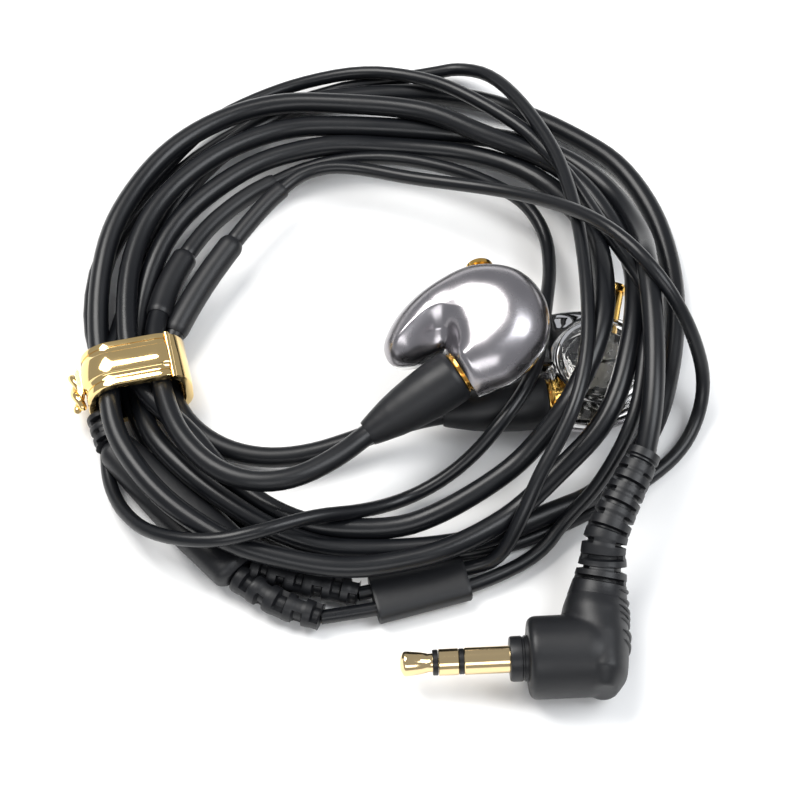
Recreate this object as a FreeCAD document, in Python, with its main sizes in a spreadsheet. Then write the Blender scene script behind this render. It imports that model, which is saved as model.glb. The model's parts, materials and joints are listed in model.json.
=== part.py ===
"""A pair of in-ear monitors on their coiled cable, held by a hinged metal tie.

Millimetres, +Z up, the table at z = 0. The left unit lies on top, outer face up, and the right
unit lies under it, outer face down. Places in the cable are given round the coil's centre, as an
angle from +X, a radius and a height.
"""

import FreeCAD, Part
import Sketcher
import math
import os

V = FreeCAD.Vector
Placement = FreeCAD.Placement
Rotation = FreeCAD.Rotation

SIZES = {
    # the coil, seen from above
    "coil_x": -19.592,
    "coil_y": 6.056,
    "coil_height": 7.6,
    "bridge_low": 12.3,
    "bridge_high": 17.2,
    # cable
    "main_radius": 1.45,
    "leg_radius": 0.95,
    "wire_radius": 1.4,
    # earphone casing, measured from the connector's axis
    "shell_height": 4.6,
    "shell_cavity": 3.4,
    "rim_depth": 2.0,
    "pod_depth": 3.2,
    "pod_radius": 6.6,
    "pod_x": 7.2,
    "pod_y": 3.2,
    "wall": 0.9,
    "nozzle_radius": 1.5,
    "nozzle_bore": 0.95,
    "nozzle_length": 6.4,
    "nozzle_lip": 1.9,
    "duct_radius": 1.25,
    # drivers
    "woofer_length": 6.4,
    "woofer_width": 4.0,
    "woofer_height": 3.2,
    "driver_length": 5.2,
    "driver_width": 2.6,
    "midrange_height": 2.2,
    "tweeter_height": 1.8,
    "board_length": 8.0,
    "board_width": 7.0,
    "board_thickness": 0.5,
    # push-fit coaxial connector
    "socket_radius": 2.5,
    "socket_flange": 2.9,
    "socket_length": 3.2,
    "socket_bore": 1.75,
    "socket_depth": 2.4,
    "flange_length": 0.6,
    "plug_barrel": 1.70,
    "plug_root": 2.2,
    "plug_bore": 0.9,
    "contact_radius": 0.35,
    "boot_radius": 3.65,
    "boot_middle": 2.95,
    "boot_end": 1.7,
    "boot_length": 14.1,
    # heat-shrink sleeves where a formable wire becomes a soft leg
    "sleeve_radius": 1.75,
    "sleeve_tip_radius": 1.25,
    # cinch slider
    "slider_length": 12.6,
    "slider_width": 6.2,
    "slider_height": 3.1,
    "slider_hole": 1.07,
    "slider_travel": 2.5,
    "leg_pitch": 2.7,
    # Y split
    "split_length": 26.0,
    "split_width": 7.4,
    "split_neck": 4.6,
    "split_height": 4.8,
    "relief_main_radius": 2.2,
    "relief_leg_radius": 1.9,
    # stereo plug, 3.5 mm
    "jack_radius": 1.75,
    "jack_groove": 1.1,
    "jack_length": 14.0,
    "collar_radius": 3.0,
    "collar_length": 2.1,
    "housing_radius": 5.25,
    "housing_length": 13.6,
    "elbow_radius": 3.05,
    "elbow_length": 10.2,
    "plug_boot_length": 17.6,
    "plug_boot_base": 3.0,
    "plug_boot_end": 2.3,
    # hinged tie
    "tie_width": 6.8,
    "tie_across": 14.2,
    "tie_high": 10.4,
    "tie_corner": 4.0,
    "tie_thickness": 1.1,
    "tie_rise": 0.35,
    "knuckle_radius": 0.75,
    "tie_pin_radius": 0.38,
}

# Outline of an earphone from the connector's face round to the lobe, along and across its axis
BEAN = [
    (0.0, -4.2), (5.2, -5.0), (11.2, -3.0), (14.4, 2.0), (13.8, 7.6), (9.6, 11.5),
    (3.4, 12.6), (-2.4, 11.2), (-5.5, 8.3), (-4.6, 6.2), (0.0, 4.2),
]
BEAN_CENTRE = (4.8, 4.2)

# Where each connector's face is, round the coil's centre, and where its boot ends
LEFT_FACE = (310, 17.2, 13.0)
LEFT_BOOT_END = (267.5, 20.4, 9.6)
RIGHT_FACE = (331.2, 26.6, 4.65)
RIGHT_BOOT_END = (301.4, 17.3, 4.65)

NOZZLE_START = (8.0, 6.2, 2.2)
NOZZLE_WAY = (0.30, 0.90, 0.32)

# The free stretches of cable: angle, radius, height
LEFT_WIRE = [
    (258, 25.2, 10.2), (249, 30.2, 10.6), (240, 33.2, 10.4), (230, 34.2, 9.6),
    (218, 33.7, 8.4), (207, 32.4, 7.2), (196, 31.3, 6.3), (187, 30.9, 5.4), (180, 30.3, 4.7),
]
RIGHT_WIRE = [
    (284, 16.2, 4.2), (263, 18.2, 3.8), (247, 22.0, 3.4), (235, 25.4, 3.2), (224, 28.0, 3.2),
    (213, 29.6, 3.5), (202, 29.8, 3.9), (192, 29.4, 4.3), (184, 27.9, 4.6),
]
LEFT_SLEEVE = [(180, 30.3, 4.7), (158, 28.9, 4.0)]
LEFT_SLEEVE_TIP = [(158, 28.9, 4.0), (121.5, 28.2, 3.4)]
RIGHT_SLEEVE = [(184, 27.9, 4.6), (149, 23.5, 5.6)]
RIGHT_SLEEVE_TIP = [(149, 23.5, 5.6), (123, 24.6, 6.0)]
LEFT_LEG = [
    (121.5, 28.2, 3.4), (112, 28.5, 3.6), (100, 28.3, 4.2), (85, 27.8, 4.8), (68, 27.2, 5.4),
    (55, 27.6, 5.2), (44, 28.6, 4.4), (32, 27.6, 3.8), (18, 24.9, 5.0), (4, 23.0, 8.2),
    (350, 22.6, 9.4), (337, 23.3, 8.4), (324, 24.0, 9.1), (312, 24.6, 8.6), (301, 25.2, 5.8),
    (289, 25.9, 3.4), (277, 27.0, 2.2), (266, 29.8, 4.2), (256, 33.2, 7.4), (247, 37.2, 8.8),
    (239, 41.0, 8.9), (231, 43.6, 7.4), (223, 43.9, 4.2), (215.5, 43.2, 1.8), (209, 42.4, 1.2),
    (203, 41.0, 1.3),
]
RIGHT_LEG = [
    (123, 24.6, 6.0), (115, 25.3, 6.3), (106, 25.0, 6.5), (95, 23.6, 6.6), (80, 22.1, 7.0),
    (63, 22.5, 8.0), (46, 24.4, 10.0), (31, 26.8, 13.0), (18, 29.4, 16.6), (7, 32.7, 18.7),
    (358, 36.7, 18.3), (353, 40.4, 14.6), (350, 43.2, 9.6), (347, 45.0, 4.9), (342, 45.4, 1.9),
    (335, 44.9, 1.05), (327, 43.1, 1.05), (319, 41.2, 1.05), (311, 40.2, 1.05), (304, 39.9, 1.05),
]
LEFT_SHORT_LEG = [(301.5, 40.3, 2.6), (308, 39.8, 4.4), (314, 39.2, 6.8)]
RIGHT_SHORT_LEG = [(300, 37.6, 3.8), (306, 36.0, 6.6), (311.5, 34.8, 9.4)]
PLUG_LEAD = [(324.2, 42.9, 12.6), (329, 41.6, 14.4), (336, 39.4, 15.2), (345, 37.2, 15.4)]
OUTER_LOOP = [
    (301, 36.1, 1.7), (309, 38.4, 2.4), (317, 40.2, 3.2), (326, 41.2, 3.6), (336, 41.2, 3.4),
    (348, 40.8, 2.6), (0, 41.0, 2.2), (12, 41.9, 2.0), (24, 43.0, 1.8), (37, 43.4, 1.7),
]

# Outer and inner edge of the tied coil, and of the turns that cross the right earphone
COIL_FROM = 37
COIL_OUTER = [
    (37, 45.0), (55, 44.0), (75, 45.3), (95, 44.2), (115, 43.4), (135, 43.4), (158, 42.6),
    (180, 41.6), (200, 40.6), (225, 39.2), (248, 38.0), (263, 37.2), (277, 36.4), (290, 36.6),
    (301, 37.6),
]
COIL_INNER = [
    (301, 29.6), (285, 30.6), (270, 31.2), (250, 31.0), (235, 30.8), (218, 31.6), (202, 33.2),
    (180, 32.4), (158, 31.0), (135, 29.9), (115, 29.6), (95, 29.4), (75, 29.2), (55, 30.6),
    (37, 31.0),
]
BRIDGE_OUTER = [(301, 38.6), (318, 38.0), (335, 37.4), (350, 37.2), (5, 37.2), (20, 37.6), (37, 38.6)]
BRIDGE_INNER = [(37, 31.0), (20, 29.0), (5, 27.6), (350, 27.6), (335, 28.8), (318, 29.8), (301, 30.6)]

TIE_PLACE = (196.6, 33.8, 5.2)
TIE_TURN = 12.0
TIE_HINGE = (4.8, 0.0, 4.5)

SPLIT_START = (207.7, 40.2, 3.0)
SPLIT_TURN = -46.0
MAIN_RELIEF = [(201.2, 39.7, 3.2), (207.7, 40.2, 3.0)]
LEFT_RELIEF = [(244.6, 42.2, 2.6), (260.6, 44.4, 2.2)]
RIGHT_RELIEF = [(246.0, 40.2, 2.6), (266.5, 40.4, 2.0)]
SLIDER_PLACE = (269.4, 41.2, 1.9)
SLIDER_TURN = 14.7

PLUG_TIP = (273.9, 52.0, 5.3)
PLUG_TURN = 2.9
PLUG_BOOT = [(306.0, 51.4, 5.4), (324.2, 42.9, 12.6)]

doc = FreeCAD.newDocument("in_ear_monitors")
sheet = doc.addObject("Spreadsheet::Sheet", "Sizes")
for row, (alias, value) in enumerate(SIZES.items(), start=1):
    sheet.set(f"A{row}", alias)
    sheet.set(f"B{row}", str(value))
    sheet.setAlias(f"B{row}", alias)
doc.recompute()

nodes = []


# ---------------------------------------------------------------- helpers


def size(alias):
    """A driving dimension, read from the sheet."""
    return float(getattr(sheet, alias))


def spot(place):
    """The point at an angle, radius and height round the coil's centre."""
    angle, radius, height = place
    turn = math.radians(angle)
    return V(size("coil_x") + radius * math.cos(turn), size("coil_y") + radius * math.sin(turn), height)


def keep(obj, label):
    """Name a sub-part and add it to the pieces written at the end."""
    obj.Label = label
    nodes.append(obj)
    return obj


def bind(obj, **expressions):
    """Tie properties to cells of the sheet."""
    for name, text in expressions.items():
        obj.setExpression(name, text)
    return obj


def along(point, way):
    """A placement at a point whose local Z runs along a direction."""
    return Placement(point, Rotation(V(0, 0, 1), way))


def axes(point, x_way, z_way):
    """A placement whose local X runs along x_way and whose local Z is nearest to z_way."""
    x = V(x_way).normalize()
    y = V(z_way).cross(x).normalize()
    z = x.cross(y)
    turned = FreeCAD.Matrix(x.x, y.x, z.x, 0, x.y, y.y, z.y, 0, x.z, y.z, z.z, 0, 0, 0, 0, 1)
    return Placement(point, Placement(turned).Rotation)


def moved(place, x=0.0, y=0.0, z=0.0):
    """A placement shifted along its own axes."""
    return place.multiply(Placement(V(x, y, z), Rotation()))


def cylinder(name, radius, height, place):
    obj = doc.addObject("Part::Cylinder", name)
    bind(obj, Radius=radius, Height=height)
    obj.Placement = place
    return obj


def cone(name, radius_1, radius_2, height, place):
    obj = doc.addObject("Part::Cone", name)
    bind(obj, Radius1=radius_1, Radius2=radius_2, Height=height)
    obj.Placement = place
    return obj


def box(name, length, width, height, place):
    """A box centred across its length and width, standing on its place."""
    obj = doc.addObject("Part::Box", name)
    bind(obj, Length=length, Width=width, Height=height)
    doc.recompute([obj])
    obj.Placement = moved(place, -obj.Length.Value / 2, -obj.Width.Value / 2)
    return obj


def cut(name, base, tool):
    obj = doc.addObject("Part::Cut", name)
    obj.Base = base
    obj.Tool = tool
    return obj


def fuse(name, parts):
    obj = doc.addObject("Part::MultiFuse", name)
    obj.Shapes = parts
    obj.Refine = True
    return obj


def plane(body, role):
    """One of a body's origin planes."""
    return next(f for f in body.Origin.OriginFeatures if f.Role == role)


def sketch_on(body, name, role, offset=0.0):
    sketch = body.newObject("Sketcher::SketchObject", name)
    sketch.AttachmentSupport = (plane(body, role), [""])
    sketch.MapMode = "FlatFace"
    sketch.AttachmentOffset = Placement(V(0, 0, offset), Rotation())
    return sketch


def pad(body, name, sketch, length, downwards):
    obj = body.newObject("PartDesign::Pad", name)
    obj.Profile = sketch
    obj.setExpression("Length", length)
    obj.Reversed = downwards
    return obj


def pocket(body, name, sketch, length, upwards):
    """A pocket, checked to have removed material."""
    doc.recompute()
    before = body.Shape.Volume
    obj = body.newObject("PartDesign::Pocket", name)
    obj.Profile = sketch
    obj.setExpression("Length", length)
    obj.Reversed = upwards
    doc.recompute()
    if not body.Shape.Volume < before:
        raise ValueError(f"{name} cut nothing")
    return obj


def feature(label, shape, place=None):
    obj = doc.addObject("Part::Feature", label)
    obj.Shape = shape
    if place is not None:
        obj.Placement = place
    return keep(obj, label)


def route_wire(label, points):
    """Straight runs joined by arcs that take 0.45 of the shorter run on each side."""
    edges = []
    radii = []
    here = points[0]
    for before, corner, after in zip(points, points[1:], points[2:]):
        into = corner - before
        out = after - corner
        turn = into.getAngle(out)
        reach = 0.45 * min(into.Length, out.Length)
        start = corner - V(into).normalize() * reach
        end = corner + V(out).normalize() * reach
        inward = (V(out).normalize() - V(into).normalize()).normalize()
        radius = reach / math.tan(turn / 2)
        middle = corner + inward * (radius / math.cos(turn / 2) - radius)
        edges.append(Part.LineSegment(here, start).toShape())
        edges.append(Part.Arc(start, middle, end).toShape())
        radii.append(round(radius, 1))
        here = end
    edges.append(Part.LineSegment(here, points[-1]).toShape())
    wire = Part.Wire(edges)
    print(label, "radii", radii, "length", round(wire.Length, 1))
    return wire


def tube(label, points, radius):
    """A cable's plain solid along its route, its volume compared with section times length."""
    wire = route_wire(label, points)
    way = points[1] - points[0]
    circle = Part.Wire(Part.Circle(points[0], way, radius).toShape())
    solid = wire.makePipeShell([circle], True, False)
    expected = math.pi * radius ** 2 * wire.Length
    if abs(solid.Volume / expected - 1) > 0.01:
        raise ValueError(f"{label} has the wrong volume")
    return feature(label, solid)


# ---------------------------------------------------------------- an earphone


def bean_points(scale):
    """The casing's outline, drawn in towards its middle by a scale."""
    middle = V(*BEAN_CENTRE, 0)
    return [middle + (V(x, y, 0) - middle) * scale for x, y in BEAN]


def bean_sketch(body, name, scale, offset=0.0):
    sketch = sketch_on(body, name, "XY_Plane", offset)
    points = bean_points(scale)
    curve = Part.BSplineCurve()
    curve.interpolate(points)
    sketch.addGeometry(curve, False)
    sketch.addGeometry(Part.LineSegment(points[-1], points[0]), False)
    return sketch


def outer_shell(side, place, out):
    """Domed metal cover over the outer half, open towards the clear half."""
    body = doc.addObject("PartDesign::Body", f"{side}_shell_body")
    rise = size("shell_height") * out
    sections = [
        bean_sketch(body, f"{side}_shell_{i}", scale, rise * part)
        for i, (scale, part) in enumerate([(1.0, 0.0), (0.94, 0.55), (0.62, 1.0)])
    ]
    dome = body.newObject("PartDesign::AdditiveLoft", f"{side}_dome")
    dome.Profile = sections[0]
    dome.Sections = sections[1:]
    hollow = bean_sketch(body, f"{side}_shell_hollow", 0.86)
    pocket(body, f"{side}_shell_cavity", hollow, "Sizes.shell_cavity", out > 0)
    body.Placement = place
    return keep(cut(f"{side}_shell_cut", body, socket_space(f"{side}_shell", place)), f"{side}_outer_shell")


def socket_space(name, place):
    """The round way through a casing's front wall that the connector socket fills."""
    start = moved(place, -1.0)
    way = place.Rotation.multVec(V(1, 0, 0))
    return cylinder(f"{name}_way", "Sizes.socket_radius", "Sizes.socket_length + 1", along(start.Base, way))


def clear_housing(side, place, out, nozzle_axis):
    """Clear inner half: a rim that matches the cover, and a round pod that holds the drivers."""
    body = doc.addObject("PartDesign::Body", f"{side}_housing_body")
    rim = bean_sketch(body, f"{side}_rim", 0.985)
    pad(body, f"{side}_rim_pad", rim, "Sizes.rim_depth", out > 0)
    pod = round_sketch(body, f"{side}_pod", "Sizes.pod_radius", -out * size("rim_depth"))
    pad(body, f"{side}_pod_pad", pod, "Sizes.pod_depth", out > 0)
    rim_hollow = bean_sketch(body, f"{side}_rim_hollow", 0.86)
    pocket(body, f"{side}_rim_cavity", rim_hollow, "Sizes.rim_depth - 0.7", out < 0)
    pod_hollow = round_sketch(body, f"{side}_pod_hollow", "Sizes.pod_radius - Sizes.wall", 0.0)
    depth = "Sizes.rim_depth + Sizes.pod_depth - 0.7"
    pocket(body, f"{side}_pod_cavity", pod_hollow, depth, out < 0)
    body.Placement = place
    way = cylinder(f"{side}_nozzle_way", "Sizes.nozzle_radius", "6", moved(nozzle_axis, z=-1.2))
    tools = fuse(f"{side}_housing_ways", [way, socket_space(f"{side}_housing", place)])
    return keep(cut(f"{side}_housing_cut", body, tools), f"{side}_clear_housing")


def round_sketch(body, name, radius, offset):
    """A circle over the drivers' pod, its radius bound to the sheet."""
    sketch = sketch_on(body, name, "XY_Plane", offset)
    middle = V(size("pod_x"), size("pod_y"), 0)
    circle = sketch.addGeometry(Part.Circle(middle, V(0, 0, 1), 5.0), False)
    bound = sketch.addConstraint(Sketcher.Constraint("Radius", circle, 5.0))
    sketch.setExpression(f"Constraints[{bound}]", radius)
    across = sketch.addConstraint(Sketcher.Constraint("DistanceX", -1, 1, circle, 3, middle.x))
    sketch.setExpression(f"Constraints[{across}]", "Sizes.pod_x")
    upwards = sketch.addConstraint(Sketcher.Constraint("DistanceY", -1, 1, circle, 3, middle.y))
    sketch.setExpression(f"Constraints[{upwards}]", "Sizes.pod_y")
    return sketch


def nozzle(side, axis):
    """Hollow stem with a lip that holds an ear sleeve, and the screen in its mouth."""
    stem = cylinder(f"{side}_stem", "Sizes.nozzle_radius", "Sizes.nozzle_length", axis)
    lip_place = moved(axis, z=size("nozzle_length") - 1.1)
    lip = cylinder(f"{side}_lip", "Sizes.nozzle_lip", "0.7", lip_place)
    solid = fuse(f"{side}_nozzle_solid", [stem, lip])
    bore_place = moved(axis, z=-0.5)
    bore = cylinder(f"{side}_bore", "Sizes.nozzle_bore", "Sizes.nozzle_length + 1", bore_place)
    mouth_place = moved(axis, z=size("nozzle_length") - 0.3)
    mouth = cylinder(f"{side}_mouth", "Sizes.nozzle_bore + 0.25", "1", mouth_place)
    keep(cut(f"{side}_nozzle_cut", solid, fuse(f"{side}_nozzle_way", [bore, mouth])), f"{side}_nozzle")
    keep(
        cylinder(f"{side}_screen", "Sizes.nozzle_bore + 0.25", "0.2", mouth_place),
        f"{side}_nozzle_screen",
    )


def drivers(side, place, out):
    """Woofer, midrange, tweeter and crossover board, stacked in the cavity."""

    def seat(x, y, low, height):
        """A place whose box stands upwards from the lower of its two faces."""
        base = low if out > 0 else -low - height
        return moved(place, x, y, base)

    woofer_place = seat(7.2, 0.9, -4.2, size("woofer_height"))
    keep(
        box(f"{side}_woofer", "Sizes.woofer_length", "Sizes.woofer_width", "Sizes.woofer_height", woofer_place),
        f"{side}_woofer_driver",
    )
    for name, low in (("midrange", -4.2), ("tweeter", -1.6)):
        driver_place = seat(7.2, 4.6, low, size(f"{name}_height"))
        height = f"Sizes.{name}_height"
        keep(
            box(f"{side}_{name}", "Sizes.driver_length", "Sizes.driver_width", height, driver_place),
            f"{side}_{name}_driver",
        )
    board_place = seat(7.6, 2.8, 1.0, size("board_thickness"))
    keep(
        box(f"{side}_board", "Sizes.board_length", "Sizes.board_width", "Sizes.board_thickness", board_place),
        f"{side}_crossover_board",
    )


def sound_duct(side, axis):
    """Short tube from the drivers to the nozzle."""
    outer = cylinder(f"{side}_duct_outer", "Sizes.duct_radius", "2.0", moved(axis, z=-2.2))
    inner = cylinder(f"{side}_duct_inner", "Sizes.nozzle_bore", "3.0", moved(axis, z=-2.7))
    keep(cut(f"{side}_duct_cut", outer, inner), f"{side}_sound_duct")


def connector(side, place):
    """Gold socket in the earphone; gold plug, centre contact and moulded boot on the cable."""
    way = place.Rotation.multVec(V(1, 0, 0))
    face = along(place.Base, way)
    flange_face = moved(face, z=-size("flange_length"))
    barrel = cylinder(f"{side}_socket_barrel", "Sizes.socket_radius", "Sizes.socket_length", face)
    flange = cylinder(f"{side}_socket_flange", "Sizes.socket_flange", "Sizes.flange_length", flange_face)
    solid = fuse(f"{side}_socket_solid", [flange, barrel])
    bore_place = moved(flange_face, z=-0.2)
    bore_length = "Sizes.socket_depth + Sizes.flange_length + 0.2"
    bore = cylinder(f"{side}_socket_bore", "Sizes.socket_bore", bore_length, bore_place)
    keep(cut(f"{side}_socket_cut", solid, bore), f"{side}_mmcx_socket")

    shank = cylinder(f"{side}_plug_shank", "Sizes.plug_barrel", "3.6", moved(face, z=-1.4))
    root = cylinder(f"{side}_plug_root", "Sizes.plug_root", "3.2", moved(face, z=-4.0))
    plug_solid = fuse(f"{side}_plug_solid", [root, shank])
    plug_bore = cylinder(f"{side}_plug_bore", "Sizes.plug_bore", "8", moved(face, z=-5.0))
    keep(cut(f"{side}_plug_cut", plug_solid, plug_bore), f"{side}_mmcx_plug")
    keep(
        cylinder(f"{side}_contact", "Sizes.contact_radius", "5.4", moved(face, z=-4.0)),
        f"{side}_mmcx_contact",
    )
    connector_boot(side, face)


def connector_boot(side, face):
    """Tapered rubber boot over the plug, from the flange back to the formable wire."""
    back = -size("flange_length") - 0.1 - size("boot_length")
    tail = cone(f"{side}_boot_tail", "Sizes.boot_end", "Sizes.boot_middle", "4", moved(face, z=back))
    middle_place = moved(face, z=back + 4)
    middle = cone(f"{side}_boot_middle", "Sizes.boot_middle", "Sizes.boot_radius", "5", middle_place)
    head_place = moved(face, z=back + 9)
    head = cylinder(f"{side}_boot_head", "Sizes.boot_radius", "Sizes.boot_length - 9", head_place)
    solid = fuse(f"{side}_boot_solid", [tail, middle, head])
    recess = cylinder(f"{side}_boot_recess", "Sizes.plug_root", "4", moved(face, z=-4.0))
    keep(cut(f"{side}_boot_cut", solid, recess), f"{side}_connector_boot")


def earphone(side, face, boot_end, out):
    """One complete earphone; out is 1 with the outer face up and -1 with it down."""
    origin = spot(face)
    place = axes(origin, origin - spot(boot_end), V(0, 0, 1))
    start = V(NOZZLE_START[0], NOZZLE_START[1], -out * NOZZLE_START[2])
    way = V(NOZZLE_WAY[0], NOZZLE_WAY[1], -out * NOZZLE_WAY[2])
    axis = along(place.multVec(start), place.Rotation.multVec(way))
    stem_axis = moved(axis, z=2.3)
    outer_shell(side, place, out)
    clear_housing(side, place, out, stem_axis)
    nozzle(side, stem_axis)
    sound_duct(side, stem_axis)
    drivers(side, place, out)
    connector(side, place)
    print(side, "nozzle from", tuple(stem_axis.Base), "along", tuple(stem_axis.Rotation.multVec(V(0, 0, 1))))
    return place


# ---------------------------------------------------------------- the cable


def rod(label, ends, radius_1, radius_2):
    """A straight sleeve between two places, thinner towards its second end."""
    start = spot(ends[0])
    way = spot(ends[1]) - start
    if radius_1 == radius_2:
        obj = cylinder(f"{label}_rod", radius_1, f"{way.Length}", along(start, way))
    else:
        obj = cone(f"{label}_rod", radius_1, radius_2, f"{way.Length}", along(start, way))
    return keep(obj, label)


def relief(label, ends, radius_1, radius_2, ribs):
    """A strain relief: a slim core with a row of separate ribs round it."""
    start = spot(ends[0])
    way = spot(ends[1]) - start
    place = along(start, way)
    length = way.Length
    pitch = length / ribs
    core = cone(f"{label}_core", f"{radius_1} * 0.78", f"{radius_2} * 0.78", f"{length}", place)
    rings = []
    for rib in range(ribs):
        share = (rib + 0.35) / ribs
        radius = f"{radius_1} + ({radius_2} - {radius_1}) * {share}"
        ring_place = moved(place, z=rib * pitch)
        rings.append(cylinder(f"{label}_rib_{rib}", radius, f"{pitch * 0.66}", ring_place))
    return keep(fuse(f"{label}_solid", [core] + rings), label)


def cable_legs():
    """Formable wires, their sleeves and the soft legs that lie free of the coil."""
    boots = {"left": LEFT_BOOT_END, "right": RIGHT_BOOT_END}
    wires = {"left": LEFT_WIRE, "right": RIGHT_WIRE}
    sleeves = {"left": LEFT_SLEEVE, "right": RIGHT_SLEEVE}
    tips = {"left": LEFT_SLEEVE_TIP, "right": RIGHT_SLEEVE_TIP}
    legs = {"left": LEFT_LEG, "right": RIGHT_LEG}
    for side in ("left", "right"):
        start = frames[side].multVec(V(-size("flange_length") - 0.1 - size("boot_length"), 0, 0))
        points = [start] + [spot(place) for place in wires[side]]
        tube(f"{side}_formable_wire", points, size("wire_radius"))
        rod(f"{side}_sleeve", sleeves[side], "Sizes.sleeve_radius", "Sizes.sleeve_radius")
        rod(f"{side}_sleeve_tip", tips[side], "Sizes.sleeve_tip_radius", "Sizes.sleeve_tip_radius")
        tube(f"{side}_leg", [spot(place) for place in legs[side]], size("leg_radius"))


def slider_frame():
    turn = math.radians(SLIDER_TURN)
    return axes(spot(SLIDER_PLACE), V(math.cos(turn), math.sin(turn), 0), V(0, 0, 1))


def slider():
    """Cinch slider: a flattened block with a hole for each leg."""
    place = slider_frame()
    body = doc.addObject("PartDesign::Body", "slider_body")
    section = sketch_on(body, "slider_section", "YZ_Plane")
    width = size("slider_width")
    radius = size("slider_height") / 2
    flat = width / 2 - radius
    section.addGeometry(Part.LineSegment(V(-flat, radius, 0), V(flat, radius, 0)), False)
    section.addGeometry(Part.LineSegment(V(flat, -radius, 0), V(-flat, -radius, 0)), False)
    ends = ((flat, -math.pi / 2, math.pi / 2), (-flat, math.pi / 2, 3 * math.pi / 2))
    for middle, start, end in ends:
        circle = Part.Circle(V(middle, 0, 0), V(0, 0, 1), radius)
        section.addGeometry(Part.ArcOfCircle(circle, start, end), False)
    pad(body, "slider_pad", section, "Sizes.slider_length", False)
    holes = sketch_on(body, "slider_holes", "YZ_Plane")
    for side in (-1, 1):
        middle = V(side * size("leg_pitch") / 2, 0, 0)
        hole = holes.addGeometry(Part.Circle(middle, V(0, 0, 1), 1.0), False)
        bound = holes.addConstraint(Sketcher.Constraint("Radius", hole, 1.0))
        holes.setExpression(f"Constraints[{bound}]", "Sizes.slider_hole")
    pocket(body, "slider_bores", holes, "Sizes.slider_length + 1", True)
    body.Placement = place
    keep(body, "slider")


def short_legs():
    """Each leg from its relief at the split, through the slider, up to the coil."""
    place = slider_frame()
    beyond = size("slider_length") + size("slider_travel") + 1.4
    before = {"left": -1.5, "right": -0.2}
    routes = {"left": (LEFT_RELIEF, LEFT_SHORT_LEG, -1), "right": (RIGHT_RELIEF, RIGHT_SHORT_LEG, 1)}
    for side, (ends, rest, sign) in routes.items():
        across = sign * size("leg_pitch") / 2
        straight = [place.multVec(V(x, across, 0)) for x in (before[side], beyond)]
        points = [spot(ends[1])] + straight + [spot(p) for p in rest]
        tube(f"{side}_short_leg", points, size("leg_radius"))


def split_frame():
    turn = math.radians(SPLIT_TURN)
    return axes(spot(SPLIT_START), V(math.cos(turn), math.sin(turn), 0), V(0, 0, 1))


def y_split():
    """Moulded body where the main cable divides, a flat wedge with rounded sides."""
    place = split_frame()
    body = doc.addObject("PartDesign::Body", "split_body")
    outline = sketch_on(body, "split_outline", "XY_Plane")
    length = size("split_length")
    neck = size("split_neck") / 2
    wide = size("split_width") / 2
    corners = [
        V(0, -neck, 0), V(length * 0.62, -wide, 0), V(length, -wide, 0),
        V(length, wide, 0), V(length * 0.62, wide, 0), V(0, neck, 0),
    ]
    for start, end in zip(corners, corners[1:] + corners[:1]):
        outline.addGeometry(Part.LineSegment(start, end), False)
    for edge in range(len(corners)):
        following = (edge + 1) % len(corners)
        outline.addConstraint(Sketcher.Constraint("Coincident", edge, 2, following, 1))
    block = pad(body, "split_pad", outline, "Sizes.split_height", False)
    block.Midplane = True
    doc.recompute()
    fillet = body.newObject("PartDesign::Fillet", "split_rounding")
    fillet.Base = (block, [f"Edge{i}" for i in range(1, len(block.Shape.Edges) + 1)])
    fillet.Radius = 1.5
    body.Placement = place
    keep(body, "y_split_body")
    relief("y_split_main_relief", MAIN_RELIEF, "Sizes.relief_main_radius", "Sizes.relief_main_radius", 3)
    for side, ends, ribs in (("left", LEFT_RELIEF, 5), ("right", RIGHT_RELIEF, 6)):
        radius = "Sizes.relief_leg_radius"
        relief(f"y_split_{side}_relief", ends, radius, f"{radius} * 0.9", ribs)


def coil_outline(outer, inner):
    """The closed outline of a stretch of the coil, as two smooth edges and two straight ends."""

    def edge(stations):
        points = [spot((angle, radius, 0)) for angle, radius in stations]
        curve = Part.BSplineCurve()
        curve.interpolate(points)
        return points, curve

    outer_points, outer_curve = edge(outer)
    inner_points, inner_curve = edge(inner)
    return [
        outer_curve,
        Part.LineSegment(outer_points[-1], inner_points[0]),
        inner_curve,
        Part.LineSegment(inner_points[-1], outer_points[0]),
    ]


def coil_body(name, outer, inner, height):
    body = doc.addObject("PartDesign::Body", f"{name}_body")
    outline = sketch_on(body, f"{name}_outline", "XY_Plane")
    for part in coil_outline(outer, inner):
        outline.addGeometry(part, False)
    pad(body, f"{name}_pad", outline, height, False)
    return body


def cable_coil():
    """The tied turns as one closed solid, slimmer where the tie holds them."""
    body = coil_body("coil", COIL_OUTER, COIL_INNER, "Sizes.coil_height")
    place = tie_frame()
    block = box("tie_room", "24", "Sizes.tie_width + 1.6", "14", moved(place, z=-7))
    waist = rounded_bar("tie_waist", tie_section(-size("tie_thickness") - 0.35), "Sizes.tie_width + 3")
    waist.Placement = place
    room = cut("tie_room_ring", block, waist)
    split_room = box("split_room", "29", "8.0", "5.8", moved(split_frame(), 12.9, 0, -3.1))
    slide_room = box("slide_room", "17.4", "6.8", "4.1", moved(slider_frame(), 8.0, 0, -2.0))
    keep(cut("coil_cut", body, fuse("coil_rooms", [room, split_room, slide_room])), "cable_coil")


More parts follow.
